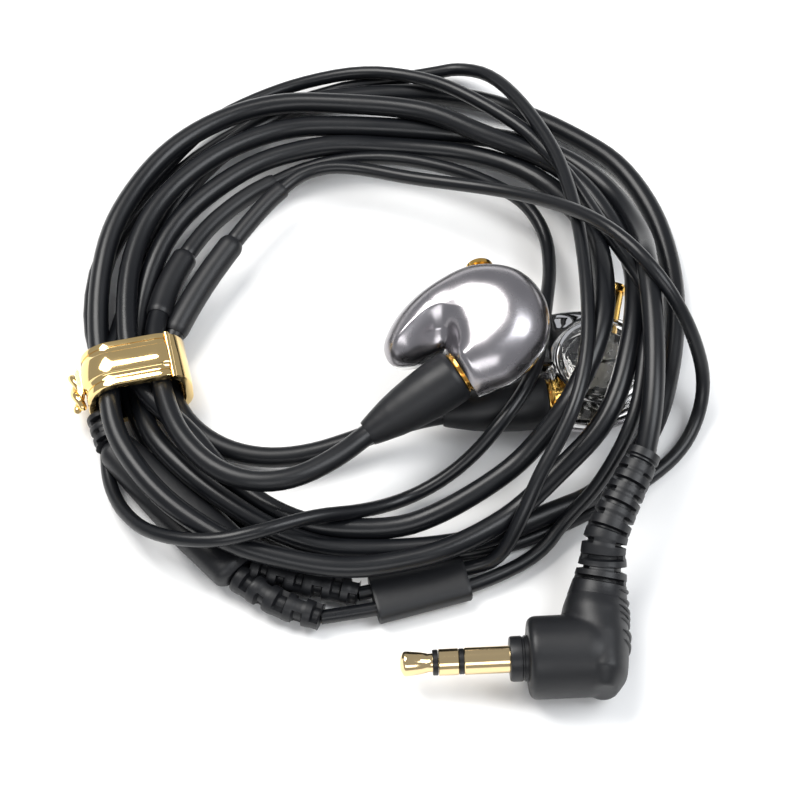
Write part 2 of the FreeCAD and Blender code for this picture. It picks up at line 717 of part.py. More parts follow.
def cable_bridge():
    """The turns that climb over the right earphone, as one arched closed solid."""
    body = coil_body("bridge", BRIDGE_OUTER, BRIDGE_INNER, "Sizes.bridge_high")
    profile = doc.addObject("PartDesign::Body", "bridge_profile_body")
    side = sketch_on(profile, "bridge_profile", "YZ_Plane")
    middle = size("coil_y")
    low = size("bridge_low")
    high = size("bridge_high") - 0.05
    corners = [
        (-34, 0.4), (-30, 0.4), (-20.5, low), (8.5, low), (18.5, 2.0), (24.5, 0.4),
        (24.5, 9.0), (9.0, high), (-20.0, high), (-31.0, 9.0), (-34, 9.0),
    ]
    points = [V(middle + y, z, 0) for y, z in corners]
    for start, end in zip(points, points[1:] + points[:1]):
        side.addGeometry(Part.LineSegment(start, end), False)
    pad(profile, "bridge_profile_pad", side, "120", False).Midplane = True
    arch = doc.addObject("Part::Common", "bridge_common")
    arch.Base = body
    arch.Tool = profile
    keep(arch, "cable_crossing_turns")


# ---------------------------------------------------------------- the plug


def plug():
    """Right-angled 3.5 mm stereo plug lying on the table."""
    turn = math.radians(PLUG_TURN)
    way = V(math.cos(turn), math.sin(turn), 0)
    place = axes(spot(PLUG_TIP), way, V(0, 0, 1))
    axis = along(place.Base, way)
    jack(axis)
    collar_place = moved(axis, z=size("jack_length"))
    keep(cylinder("collar", "Sizes.collar_radius", "Sizes.collar_length", collar_place), "plug_collar")
    housing_start = size("jack_length") + size("collar_length")
    plug_body(place, axis, housing_start)
    relief("plug_boot", PLUG_BOOT, "Sizes.plug_boot_base", "Sizes.plug_boot_end", 8)


def jack(axis):
    """Tip, ring and sleeve contacts with the two insulators between them, round one core."""
    core_way = cylinder("jack_core_way", "0.6", "Sizes.jack_length", moved(axis, z=2.0))
    tip_cone = cone("tip_cone", "0.7", "Sizes.jack_radius - 0.05", "1.2", axis)
    tip_neck = cone("tip_neck", "Sizes.jack_radius - 0.05", "Sizes.jack_groove", "1.9", moved(axis, z=1.2))
    keep(fuse("tip_solid", [tip_cone, tip_neck]), "plug_tip")
    keep(
        cut("ring_cut", cylinder("ring_solid", "Sizes.jack_radius", "2.6", moved(axis, z=3.9)), core_way),
        "plug_ring",
    )
    sleeve_place = moved(axis, z=7.3)
    sleeve_solid = cylinder("sleeve_solid", "Sizes.jack_radius", "Sizes.jack_length - 7.3", sleeve_place)
    sleeve_way = cylinder("sleeve_way", "0.6", "Sizes.jack_length", moved(axis, z=2.0))
    keep(cut("sleeve_cut", sleeve_solid, sleeve_way), "plug_sleeve")
    insulators = []
    for i, (start, length) in enumerate(((3.1, "0.8"), (6.5, "0.8"))):
        insulators.append(cylinder(f"insulator_{i}", "Sizes.jack_radius", length, moved(axis, z=start)))
    insulator_way = cylinder("insulator_way", "0.6", "Sizes.jack_length", moved(axis, z=2.0))
    keep(cut("insulator_cut", fuse("insulator_pair", insulators), insulator_way), "plug_insulators")
    keep(cylinder("jack_core", "0.6", "Sizes.jack_length - 3.1", moved(axis, z=3.1)), "plug_core")


def plug_body(place, axis, start):
    """Moulded housing: a round barrel along the jack and an elbow towards the cable."""
    barrel = cylinder("housing_barrel", "Sizes.housing_radius", "Sizes.housing_length", moved(axis, z=start))
    rounded = doc.addObject("Part::Fillet", "housing_rounding")
    rounded.Base = barrel
    rounded.Edges = [(1, 1.6, 1.6), (3, 0.6, 0.6)]
    elbow_x = start + size("housing_length") - size("elbow_radius") - 0.05
    elbow_place = moved(place, elbow_x)
    elbow_axis = along(elbow_place.Base, place.Rotation.multVec(V(0, 1, 0)))
    elbow = cylinder("elbow", "Sizes.elbow_radius", "Sizes.elbow_length", elbow_axis)
    keep(fuse("housing_solid", [rounded, elbow]), "plug_body")


# ---------------------------------------------------------------- the tie


def tie_frame():
    """Across the bundle towards the coil's middle, along it, and up."""
    turn = math.radians(TIE_TURN)
    return axes(spot(TIE_PLACE), V(math.cos(turn), math.sin(turn), 0), V(0, 0, 1))


def tie_section(grow):
    """Half width, half height and corner radius of the tie, grown by an amount all round."""
    return (size("tie_across") / 2 + grow, size("tie_high") / 2 + grow, size("tie_corner") + grow)


def rounded_bar(name, section, length):
    """A bar along local Y with a rounded oblong section, centred on its place."""
    half, tall, corner = section
    points = [(half, tall - corner), (half - corner, tall)]
    shape = []
    middle_of_arc = corner * (1 - math.sqrt(0.5))
    for sx, sy in ((1, 1), (-1, 1), (-1, -1), (1, -1)):
        first, last = (points[0], points[1]) if sx * sy > 0 else (points[1], points[0])
        start = V(sx * first[0], sy * first[1], 0)
        end = V(sx * last[0], sy * last[1], 0)
        through = V(sx * (half - middle_of_arc), sy * (tall - middle_of_arc), 0)
        shape.append((start, through, end))
    body = doc.addObject("PartDesign::Body", name)
    outline = sketch_on(body, f"{name}_outline", "XZ_Plane")
    for (start, through, end), (following, _, _) in zip(shape, shape[1:] + shape[:1]):
        outline.addGeometry(Part.Arc(start, through, end), False)
        outline.addGeometry(Part.LineSegment(end, following), False)
    pad(body, f"{name}_pad", outline, length, False).Midplane = True
    return body


def tie_ring(name, grow, width):
    """The whole band as a ring, before it is split into its two halves."""
    outer = rounded_bar(f"{name}_outer", tie_section(grow), width)
    inner = rounded_bar(f"{name}_inner", tie_section(-size("tie_thickness")), f"{width} + 2")
    return cut(f"{name}_ring", outer, inner)


def tie():
    """Hinged band round the bundle: fixed half, opening half, hinge pin and clasp."""
    place = tie_frame()
    hinge = V(*TIE_HINGE)
    seam = 0.9
    gap = 0.15
    reach = size("tie_across") / 2 + 1.0
    cover_length = reach + hinge.x - 0.1
    middle = (hinge.x - 0.1 - reach) / 2
    cover_room = box("cover_room", f"{cover_length}", "12", "8", Placement(V(middle, 0, seam), Rotation()))
    base_place = Placement(V(middle, 0, seam - gap), Rotation())
    base_room = box("base_room", f"{cover_length + 2 * gap}", "13", "9", base_place)

    def knuckle(name, y_start, length, radius):
        at = Placement(V(hinge.x, y_start, hinge.z), Rotation(V(0, 0, 1), V(0, 1, 0)))
        return cylinder(name, radius, f"{length}", at)

    band = tie_ring("cover_band", 0.0, "Sizes.tie_width")
    strip = tie_ring("cover_strip", size("tie_rise"), "Sizes.tie_width * 0.5")
    both = fuse("cover_stock", [band, strip])
    cover = doc.addObject("Part::Common", "cover_half")
    cover.Base = both
    cover.Tool = cover_room
    near = knuckle("cover_gap_1", -3.7, 2.0, "Sizes.knuckle_radius + 0.12")
    far = knuckle("cover_gap_2", 1.7, 2.0, "Sizes.knuckle_radius + 0.12")
    opened = cut("cover_opened", cover, fuse("cover_gaps", [near, far]))
    joined = fuse("cover_joined", [opened, knuckle("cover_knuckle", -1.6, 3.2, "Sizes.knuckle_radius")])
    bore = knuckle("cover_bore", -2.0, 4.0, "Sizes.tie_pin_radius + 0.04")
    cover_part = cut("cover_part", joined, bore)
    cover_part.Placement = place
    keep(cover_part, "tie_cover")

    base_band = tie_ring("base_band", 0.0, "Sizes.tie_width")
    lower = cut("base_lower", base_band, base_room)
    middle_gap = knuckle("base_gap", -1.75, 3.5, "Sizes.knuckle_radius + 0.12")
    eased = cut("base_eased", lower, middle_gap)
    ends = [
        knuckle("base_knuckle_1", -3.5, 1.7, "Sizes.knuckle_radius"),
        knuckle("base_knuckle_2", 1.8, 1.7, "Sizes.knuckle_radius"),
    ]
    base_bore = knuckle("base_bore", -4.0, 8.0, "Sizes.tie_pin_radius")
    base_part = cut("base_part", fuse("base_joined", [eased] + ends), base_bore)
    base_part.Placement = place
    keep(base_part, "tie_base")

    pin = knuckle("pin", -3.5, 7.0, "Sizes.tie_pin_radius")
    pin.Placement = place.multiply(pin.Placement)
    keep(pin, "tie_hinge_pin")

    plate = box("clasp_plate", "0.8", "4.6", "3.9", moved(place, -7.95, 0.0, -2.0))
    curl_place = moved(place, -8.1, -2.3, -2.2)
    curl = cylinder("clasp_curl", "0.7", "4.6", along(curl_place.Base, place.Rotation.multVec(V(0, 1, 0))))
    arm = box("clasp_arm", "1.6", "4.6", "0.7", moved(place, -7.55, 0.0, 1.2))
    keep(fuse("clasp_solid", [plate, curl, arm]), "tie_clasp")


# ---------------------------------------------------------------- build and write

frames = {
    "left": earphone("left", LEFT_FACE, LEFT_BOOT_END, 1),
    "right": earphone("right", RIGHT_FACE, RIGHT_BOOT_END, -1),
}
cable_legs()
slider()
short_legs()
y_split()
cable_coil()
cable_bridge()
tube("plug_lead", [spot(place) for place in PLUG_LEAD], size("main_radius"))
tube("cable_outer_turn", [spot(place) for place in OUTER_LOOP], size("main_radius"))
plug()
tie()
doc.recompute()

for obj in doc.Objects:
    if "Invalid" in obj.State or "Error" in obj.State:
        raise ValueError(f"{obj.Name} is {obj.State}")
os.makedirs("parts", exist_ok=True)
for node in nodes:
    shape = node.Shape
    if shape.isNull() or not shape.isValid() or not shape.Solids:
        raise ValueError(f"{node.Label} has no valid solid")
    shape.exportStep(f"parts/{node.Label}.step")
    low = shape.BoundBox
    print(node.Label, len(shape.Solids), "solid", round(shape.Volume, 2), "mm3, z", round(low.ZMin, 2))
print(len(nodes), "nodes")
for side, place in frames.items():
    way = place.Rotation.multVec(V(1, 0, 0))
    print(side, "hinge at", tuple(round(c, 3) for c in place.Base), "along", tuple(round(c, 4) for c in way))
print("tie hinge at", tuple(tie_frame().multVec(V(*TIE_HINGE))), "jack from", tuple(spot(PLUG_TIP)))
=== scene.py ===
"""Looks for a pair of in-ear monitors lying on a table with their cable coiled and tied.

Millimetres are used throughout and turned into metres where objects are made. Places in the cable
are given round the coil's centre, as an angle from +X in degrees, a radius and a height.
"""

import json
import math

import bpy
import numpy as np
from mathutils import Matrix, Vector


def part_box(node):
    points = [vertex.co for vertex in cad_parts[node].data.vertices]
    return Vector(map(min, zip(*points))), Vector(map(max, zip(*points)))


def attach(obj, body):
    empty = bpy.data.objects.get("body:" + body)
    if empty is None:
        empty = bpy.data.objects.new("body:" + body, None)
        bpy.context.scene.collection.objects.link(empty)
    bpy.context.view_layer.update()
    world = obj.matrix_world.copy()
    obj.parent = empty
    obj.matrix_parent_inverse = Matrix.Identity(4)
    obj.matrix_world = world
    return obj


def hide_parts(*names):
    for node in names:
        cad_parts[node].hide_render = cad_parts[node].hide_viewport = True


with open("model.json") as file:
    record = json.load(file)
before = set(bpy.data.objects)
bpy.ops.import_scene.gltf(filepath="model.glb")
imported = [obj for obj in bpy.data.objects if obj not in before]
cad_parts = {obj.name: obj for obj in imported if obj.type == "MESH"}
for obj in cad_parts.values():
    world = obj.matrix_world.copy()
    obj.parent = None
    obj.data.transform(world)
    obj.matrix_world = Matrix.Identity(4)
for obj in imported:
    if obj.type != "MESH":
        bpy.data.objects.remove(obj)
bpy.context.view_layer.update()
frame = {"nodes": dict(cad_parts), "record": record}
MM = 0.001
COIL = (-19.592, 6.056)
MAIN, LEG, WIRE = 1.45, 0.95, 1.4
SLEEVE_TIP, SLEEVE = 1.25, 1.75

# ---------------------------------------------------------------- places


def spot(place):
    """The point at an angle, radius and height round the coil's centre, in mm."""
    angle, radius, height = place
    turn = math.radians(angle)
    return np.array([COIL[0] + radius * math.cos(turn), COIL[1] + radius * math.sin(turn), height])


def axes(point, x_way):
    """A frame at a point with local X along x_way and local Z as near to up as it can be."""
    x = np.array(x_way, float)
    x /= np.linalg.norm(x)
    y = np.cross([0.0, 0.0, 1.0], x)
    y /= np.linalg.norm(y)
    z = np.cross(x, y)
    frame_at = np.eye(4)
    frame_at[:3, 0], frame_at[:3, 1], frame_at[:3, 2], frame_at[:3, 3] = x, y, z, point
    return frame_at


def flat_axes(place, degrees):
    turn = math.radians(degrees)
    return axes(spot(place), (math.cos(turn), math.sin(turn), 0))


def put(frame_at, points):
    """Local points, in mm, moved into the row frame."""
    points = np.atleast_2d(np.array(points, float))
    return points @ frame_at[:3, :3].T + frame_at[:3, 3]


LEFT_FACE, LEFT_BOOT_END = (310, 17.2, 13.0), (267.5, 20.4, 9.6)
RIGHT_FACE, RIGHT_BOOT_END = (331.2, 26.6, 4.65), (301.4, 17.3, 4.65)
EARS = {
    "left": axes(spot(LEFT_FACE), spot(LEFT_FACE) - spot(LEFT_BOOT_END)),
    "right": axes(spot(RIGHT_FACE), spot(RIGHT_FACE) - spot(RIGHT_BOOT_END)),
}
OUT = {"left": 1.0, "right": -1.0}
SLIDER = flat_axes((269.4, 41.2, 1.9), 14.7)
SPLIT = flat_axes((207.7, 40.2, 3.0), -46.0)
TIE = flat_axes((196.6, 33.8, 5.2), 12.0)
JACK = flat_axes((273.9, 52.0, 5.3), 2.9)
JACK[:3, 3] -= 0.55 * JACK[:3, 0]

# ---------------------------------------------------------------- materials


def shader(name, colour, rough, metal=0.0, coat=0.0, coat_rough=0.1, specular=0.5):
    mat = bpy.data.materials.new(name)
    mat.use_nodes = True
    bsdf = mat.node_tree.nodes["Principled BSDF"]
    bsdf.inputs["Base Color"].default_value = (*colour, 1)
    bsdf.inputs["Roughness"].default_value = rough
    bsdf.inputs["Metallic"].default_value = metal
    bsdf.inputs["Coat Weight"].default_value = coat
    bsdf.inputs["Coat Roughness"].default_value = coat_rough
    bsdf.inputs["Specular IOR Level"].default_value = specular
    return mat, bsdf


def noise(mat, scale, detail=3.0, stretch=(1, 1, 1)):
    nodes, links = mat.node_tree.nodes, mat.node_tree.links
    coords = nodes.new("ShaderNodeTexCoord")
    mapping = nodes.new("ShaderNodeMapping")
    mapping.inputs["Scale"].default_value = stretch
    texture = nodes.new("ShaderNodeTexNoise")
    texture.inputs["Scale"].default_value = scale
    texture.inputs["Detail"].default_value = detail
    links.new(coords.outputs["Object"], mapping.inputs["Vector"])
    links.new(mapping.outputs["Vector"], texture.inputs["Vector"])
    return texture


def vary_rough(mat, bsdf, scale, low, high, stretch=(1, 1, 1)):
    """Roughness that drifts between two values, as handled surfaces do."""
    nodes, links = mat.node_tree.nodes, mat.node_tree.links
    texture = noise(mat, scale, stretch=stretch)
    spread = nodes.new("ShaderNodeMapRange")
    spread.inputs["From Min"].default_value = 0.3
    spread.inputs["From Max"].default_value = 0.7
    spread.inputs["To Min"].default_value = low
    spread.inputs["To Max"].default_value = high
    links.new(texture.outputs["Fac"], spread.inputs["Value"])
    links.new(spread.outputs["Result"], bsdf.inputs["Roughness"])
    return texture


def bump(mat, bsdf, scale, strength, distance, stretch=(1, 1, 1), detail=2.0):
    nodes, links = mat.node_tree.nodes, mat.node_tree.links
    texture = noise(mat, scale, detail, stretch)
    node = nodes.new("ShaderNodeBump")
    node.inputs["Strength"].default_value = strength
    node.inputs["Distance"].default_value = distance
    links.new(texture.outputs["Fac"], node.inputs["Height"])
    links.new(node.outputs["Normal"], bsdf.inputs["Normal"])


def satin(name, colour, low, high, grain, strength):
    """A black moulded or extruded surface with a fine grain."""
    mat, bsdf = shader(name, colour, low, specular=0.38)
    vary_rough(mat, bsdf, 120, low, high)
    bump(mat, bsdf, grain, strength, 0.00006)
    return mat


def polished(name, colour, low, high):
    mat, bsdf = shader(name, colour, low, metal=1.0)
    vary_rough(mat, bsdf, 260, low, high)
    bump(mat, bsdf, 90, 0.05, 0.0001)
    return mat


def clear(name):
    """Clear smoky resin: mostly straight-through light, so what is inside shows plainly."""
    mat, bsdf = shader(name, (0.93, 0.93, 0.91), 0.03)
    bsdf.inputs["Transmission Weight"].default_value = 1.0
    bsdf.inputs["IOR"].default_value = 1.49
    vary_rough(mat, bsdf, 200, 0.02, 0.07)
    bump(mat, bsdf, 300, 0.06, 0.0001)
    return mat


def foil(name):
    """Crumpled bright metal, as the driver cans and their leads look through resin."""
    mat, bsdf = shader(name, (0.62, 0.60, 0.56), 0.3, metal=1.0)
    vary_rough(mat, bsdf, 900, 0.18, 0.5)
    bump(mat, bsdf, 700, 0.55, 0.0004, detail=4)
    return mat


def board(name):
    mat, bsdf = shader(name, (0.03, 0.12, 0.07), 0.4)
    vary_rough(mat, bsdf, 700, 0.3, 0.55)
    bump(mat, bsdf, 900, 0.3, 0.0002)
    return mat


MATS = {
    "polished_shell": polished("polished_shell", (0.37, 0.355, 0.372), 0.22, 0.30),
    "clear_resin": clear("clear_resin"),
    "gold_plate": polished("gold_plate", (0.80, 0.50, 0.13), 0.12, 0.22),
    "gold_tie": polished("gold_tie", (0.90, 0.66, 0.30), 0.06, 0.11),
    "plug_contact": polished("plug_contact", (0.86, 0.66, 0.36), 0.07, 0.12),
    "brass_core": polished("brass_core", (0.75, 0.58, 0.28), 0.2, 0.3),
    "steel_mesh": polished("steel_mesh", (0.5, 0.5, 0.5), 0.25, 0.4),
    "duct_tube": satin("duct_tube", (0.55, 0.55, 0.52), 0.3, 0.45, 500, 0.1),
    "driver_can": foil("driver_can"),
    "circuit_board": board("circuit_board"),
    "insulator": satin("insulator", (0.004, 0.004, 0.0045), 0.3, 0.4, 600, 0.05),
    "black_moulding": satin("black_moulding", (0.007, 0.0075, 0.009), 0.38, 0.5, 900, 0.3),
    "black_rubber": satin("black_rubber", (0.006, 0.0065, 0.008), 0.38, 0.52, 900, 0.35),
    "cable_jacket": satin("cable_jacket", (0.004, 0.0046, 0.006), 0.27, 0.36, 500, 0.08),
    "wire_jacket": satin("wire_jacket", (0.004, 0.0046, 0.006), 0.32, 0.42, 700, 0.10),
    "shrink_sleeve": satin("shrink_sleeve", (0.006, 0.0065, 0.008), 0.38, 0.48, 600, 0.16),
}
SLOTS = {s["node"]: s["material_slot"] for s in frame["record"]["subparts"]}
for node_name, node in frame["nodes"].items():
    node.data.materials.clear()
    node.data.materials.append(MATS[SLOTS[node_name]])
    node.data.shade_smooth()
    node.data.set_sharp_from_angle(angle=math.radians(30))

# ---------------------------------------------------------------- mesh helpers


def solid(name, points, faces, slot, body, *nodes, sharp=38):
    """A mesh piece of the object, in a material slot, riding a body, standing for CAD nodes."""
    mesh = bpy.data.meshes.new(name)
    mesh.from_pydata([tuple(p * MM) for p in np.array(points, float)], [], faces)
    mesh.validate()
    mesh.shade_smooth()
    mesh.set_sharp_from_angle(angle=math.radians(sharp))
    mesh.materials.append(MATS[slot])
    obj = bpy.data.objects.new(name, mesh)
    bpy.context.scene.collection.objects.link(obj)
    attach(obj, body)
    if nodes:
        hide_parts(*nodes)
    return obj


def skin(rings, closed_ends=True, wrap=False):
    """Points and faces of a surface through rings that all have the same number of points."""
    count = len(rings[0])
    points = np.vstack(rings)
    faces = []
    last = len(rings) if wrap else len(rings) - 1
    for i in range(last):
        a, b = i * count, ((i + 1) % len(rings)) * count
        for j in range(count):
            k = (j + 1) % count
            faces.append((a + j, a + k, b + k, b + j))
    if closed_ends and not wrap:
        faces.append(tuple(range(count))[::-1])
        faces.append(tuple((len(rings) - 1) * count + j for j in range(count)))
    return points, faces


def join(*surfaces):
    points, faces, start = [], [], 0
    for p, f in surfaces:
        points.append(p)
        faces += [tuple(i + start for i in face) for face in f]
        start += len(p)
    return np.vstack(points), faces


def lathe(frame_at, profile, segments=72):
    """A turned solid along local X from (x, radius) pairs."""
    turn = np.linspace(0, 2 * math.pi, segments, endpoint=False)
    rings = []
    for x, radius in profile:
        ring = np.stack([np.full(segments, x), radius * np.cos(turn), radius * np.sin(turn)], 1)
        rings.append(put(frame_at, ring))
    return skin(rings)


def smooth_path(points, step):
    """Centripetal Catmull-Rom through points, sampled evenly."""
    p = [np.array(q, float) for q in points]
    p = [2 * p[0] - p[1]] + p + [2 * p[-1] - p[-2]]
    fine = []
    for a, b, c, d in zip(p, p[1:], p[2:], p[3:]):
        t0 = 0.0
        t1 = t0 + math.sqrt(np.linalg.norm(b - a))
        t2 = t1 + math.sqrt(np.linalg.norm(c - b))
        t3 = t2 + math.sqrt(np.linalg.norm(d - c))
        for t in np.linspace(t1, t2, 14, endpoint=False):
            u = (t1 - t) / (t1 - t0) * a + (t - t0) / (t1 - t0) * b
            v = (t2 - t) / (t2 - t1) * b + (t - t1) / (t2 - t1) * c
            w = (t3 - t) / (t3 - t2) * c + (t - t2) / (t3 - t2) * d
            m = (t2 - t) / (t2 - t0) * u + (t - t0) / (t2 - t0) * v
            n = (t3 - t) / (t3 - t1) * v + (t - t1) / (t3 - t1) * w
            fine.append((t2 - t) / (t2 - t1) * m + (t - t1) / (t2 - t1) * n)
    fine.append(p[-2])
    return resample(np.array(fine), step)


def lengths(points):
    return np.concatenate([[0], np.cumsum(np.linalg.norm(np.diff(points, axis=0), axis=1))])


def resample(points, step):
    along = lengths(points)
    count = max(4, int(round(along[-1] / step)) + 1)
    where = np.linspace(0, along[-1], count)
    return np.stack([np.interp(where, along, points[:, i]) for i in range(3)], 1)


def section_ring(point, side, high, radius, turn):
    return point + np.outer(radius * np.cos(turn), side) + np.outer(radius * np.sin(turn), high)


def tube(path, radius_at, segments=40, up=(0, 0, 1)):
    """A swept solid; radius_at(share of length, angles) gives the radius all round."""
    way = np.gradient(path, axis=0)
    way /= np.linalg.norm(way, axis=1)[:, None]
    share = lengths(path) / lengths(path)[-1]
    turn = np.linspace(0, 2 * math.pi, segments, endpoint=False)
    side = np.cross(np.array(up, float), way[0])
    side /= np.linalg.norm(side)
    rings = []
    for point, w, s in zip(path, way, share):
        side = side - w * side.dot(w)
        side /= np.linalg.norm(side)
        high = np.cross(w, side)
        radius = radius_at(s, turn)
        rings.append(section_ring(point, side, high, radius, turn))
    return skin(rings)


def oblong(a, b, power):
    """The radius all round of a rounded oblong with these half widths."""

    def radius(turn):
        return ((np.abs(np.cos(turn)) / a) ** power + (np.abs(np.sin(turn)) / b) ** power) ** (-1 / power)

    return radius


def webs(turn, rib):
    """Where the webs stand in the slot after a rib: on two sides, a quarter turn on at each rib."""
    return np.abs(np.cos(turn - math.pi / 2 * (rib % 2))) > 0.86


def ribbed(radius_1, radius_2, ribs, deep, share):
    """A segmented strain relief: rings joined by webs that alternate from side to side."""

    def radius_at(s, turn):
        full = radius_1 + (radius_2 - radius_1) * s
        phase = s * ribs
        rib = int(min(phase, ribs - 1e-6))
        inside = phase - rib
        if inside <= share or s > 0.995:
            edge = min(inside, share - inside) / share if s <= 0.995 else 0.5
            return np.full(len(turn), full * (1 - 0.05 * max(0.0, 1 - edge * 6)))
        gap = np.full(len(turn), full * deep)
        gap[webs(turn, rib)] = full * 0.95
        return gap

    return radius_at


def rib_path(start, end, ribs, bow=(0, 0, 0)):
    """A slightly bowed path, sampled closely enough to keep each rib's edges crisp."""
    ends = [spot(start), (spot(start) + spot(end)) / 2 + np.array(bow, float), spot(end)]
    return smooth_path(ends, np.linalg.norm(ends[2] - ends[0]) / (ribs * 10))


# ---------------------------------------------------------------- the cable

MAIN_ROUTE = [
    (324.2, 42.9, 12.6), (329, 41.6, 14.4), (336, 39.4, 15.2), (345, 37.2, 15.4), (354, 35.6, 15.0),
    (3, 34.6, 14.2), (13, 35.3, 10), (28, 36.4, 6), (39, 36.3, 6), (50, 35.4, 6), (60, 33.8, 6),
    (72, 32, 6), (84, 31, 6), (100, 31.5, 6), (112, 33.3, 6), (125, 34.4, 6), (136, 35.1, 6),
    (148, 35.7, 6), (160, 35.7, 6), (174, 35.2, 6), (193, 35.0, 6.2), (203, 33.4, 6.0),
    (215, 30.5, 5), (228, 31.1, 4), (241, 32.2, 4), (252, 32.9, 4), (261, 32.8, 4), (275, 32.4, 4),
    (285, 31.5, 5), (296, 30.6, 6), (308, 30.3, 7), (318, 30.5, 10), (326, 31.1, 12.5),
    (340, 31.2, 14.2), (352, 31.5, 14.2), (7, 31.8, 11.8), (22, 32.9, 8), (45, 33, 5),
    (64, 30.6, 4.4), (84, 28.7, 4), (101, 28.9, 5), (112, 29.6, 5), (123, 30.6, 5), (135, 31.2, 5),
    (149, 32.3, 5), (163, 32.8, 5), (180, 33.6, 4.2), (197, 34.4, 4.0), (206, 35.2, 4.6),
    (214, 35.8, 5.2), (226, 35.6, 5.4), (237, 35.4, 5.2), (248, 35.8, 4.2), (259, 36, 2.8),
    (270, 36, 1.8), (282, 37.3, 1.6), (294, 38.9, 2), (308, 39.5, 2), (316, 40.8, 2),
    (328, 41.3, 2), (340, 40.9, 2), (351, 40.5, 2), (359, 40.7, 2.5), (8, 41.4, 2.5),
    (18, 42.3, 2.2), (28, 43.3, 2), (39, 43.8, 2), (48, 42.7, 2), (58, 41.9, 2), (69, 41.3, 2),
    (80, 40.4, 2), (90, 39.7, 2), (102, 39.6, 2), (111, 39.5, 2), (135, 37, 2), (157, 34, 2),
    (170, 33.6, 2.4), (180, 34.4, 3.6), (190, 36.4, 5.4), (197, 37.9, 6.9), (203, 39.0, 7.2),
    (209, 39.8, 7.4), (215, 40.1, 7.6), (223, 40.4, 7.6), (231, 40.4, 7.4), (242, 40.4, 7.2),
    (251, 39.6, 6.8), (261, 39.2, 6.4), (269, 38.4, 6), (277, 37.6, 6), (283, 37.2, 6),
    (292, 36.3, 6), (302, 35.4, 6), (313, 35, 8.5), (324, 35.9, 11), (333, 35.7, 13),
    (345, 34.6, 14.2), (355, 33.9, 14), (9, 34.2, 11.5), (24, 34.9, 8), (37, 35.3, 7),
    (49, 34.7, 6), (64, 32.6, 6), (75, 33.4, 6), (85, 33.8, 6), (99, 35, 6), (110, 37.3, 6),
    (120, 38.8, 6), (130, 39.6, 6), (139, 39.9, 6), (149, 39.6, 6), (160, 39.3, 6),
    (172, 38.5, 5.4), (184, 38.2, 4.2), (194, 38.7, 3.4), (201.2, 39.7, 3.2),
]
TO_LEFT = [
    (301.5, 40.3, 1.4), (309, 38.3, 2.5), (316, 38.8, 5.5), (322, 38.8, 8.5), (327, 38.6, 11),
    (333, 37.9, 12.5), (346, 35.9, 13.5), (351, 36.6, 13.5), (359, 35.1, 13.5), (20, 32.1, 10.5),
    (37, 33, 9.5), (47, 34.1, 9), (56, 36, 8), (73, 38.5, 7), (82, 40.8, 5), (93, 42.9, 3),
    (105, 42.8, 2), (116, 42.1, 2), (127, 42.4, 1), (160, 41.5, 1.5), (180, 41, 1.5), (196, 38.6, 1.6),
    (203, 40.4, 1.2), (209, 41.8, 1.2), (214.3, 43.0, 2.0), (221, 44.2, 3.6), (228.8, 44.6, 6.2),
    (239.3, 42.3, 9.2), (247, 38.4, 10.2), (256, 33.2, 8.6), (266, 29.8, 4.8), (277, 27.0, 2.2),
    (289, 25.9, 3.4), (301, 25.2, 5.8), (312, 24.6, 8.6), (324, 24.0, 9.1), (337, 23.3, 8.4),
    (350, 22.6, 9.4), (4, 23.0, 8.2), (18, 24.9, 5.0), (32, 27.6, 3.8), (44, 28.6, 4.4),
    (55, 27.6, 5.2), (68, 27.2, 5.4), (85, 27.8, 4.8), (100, 28.3, 4.2), (112, 28.5, 3.6),
    (121.5, 28.2, 3.4),
]
LEFT_END = [
    (131, 28.3, 3.6), (145, 28.6, 3.8), (158, 28.9, 4.0), (170, 29.7, 4.3), (180, 30.3, 4.7),
    (187, 30.9, 5.4), (196, 31.3, 6.3), (207, 32.4, 7.2), (218, 33.7, 8.4), (230, 34.2, 9.6),
    (240, 33.2, 10.4), (249, 30.2, 10.6), (258, 25.2, 10.2),
]
TO_RIGHT = [
    (294, 39.4, 3.2), (300, 37.5, 8), (307, 35, 11.5), (315, 33.6, 13.5), (324, 32.3, 15.5),
    (337, 30, 16), (353, 28, 15.5), (15, 28.2, 13.5), (33, 30.8, 11), (45, 34, 9), (59, 38.8, 7),
    (69, 43.7, 4), (76, 44.8, 2), (80, 43.3, 2), (105, 41.5, 1), (135, 40, 1), (160, 41, 1),
    (180, 40.0, 1.5), (196, 37.2, 2.2), (210, 38.2, 1.2), (225, 38.5, 1), (250, 38, 1),
    (270, 38, 1), (285, 38.9, 1), (295, 39.8, 1.05), (304, 39.9, 1.05), (311, 40.2, 1.05),
    (319, 41.2, 1.05), (327, 43.1, 1.05), (335, 44.9, 1.05), (342, 45.4, 1.9), (347, 45.0, 4.9),
    (350, 43.2, 9.6), (353, 40.4, 14.6), (358, 36.7, 18.3), (7, 32.7, 18.7), (18, 29.4, 16.6),
    (31, 26.8, 13.0), (46, 24.4, 10.0), (63, 22.5, 8.0), (80, 22.1, 7.0), (95, 23.6, 6.6),
    (106, 25.0, 6.5), (115, 25.3, 6.3), (123, 24.6, 6.0),
]
RIGHT_END = [
    (131, 24.1, 5.9), (149, 23.5, 5.6), (167, 24.9, 5.1), (184, 27.9, 4.6), (192, 29.4, 4.3),
    (202, 29.8, 3.9), (213, 29.6, 3.5), (224, 28.0, 3.2), (235, 25.4, 3.2), (247, 22.0, 3.4),
    (263, 18.2, 3.8), (284, 16.2, 4.2),
]
RELIEFS = {
    "left": ((244.6, 42.2, 2.6), (260.6, 44.4, 2.2)),
    "right": ((246.0, 40.2, 2.6), (266.5, 40.4, 2.0)),
}
BOOT_BACK = -14.8


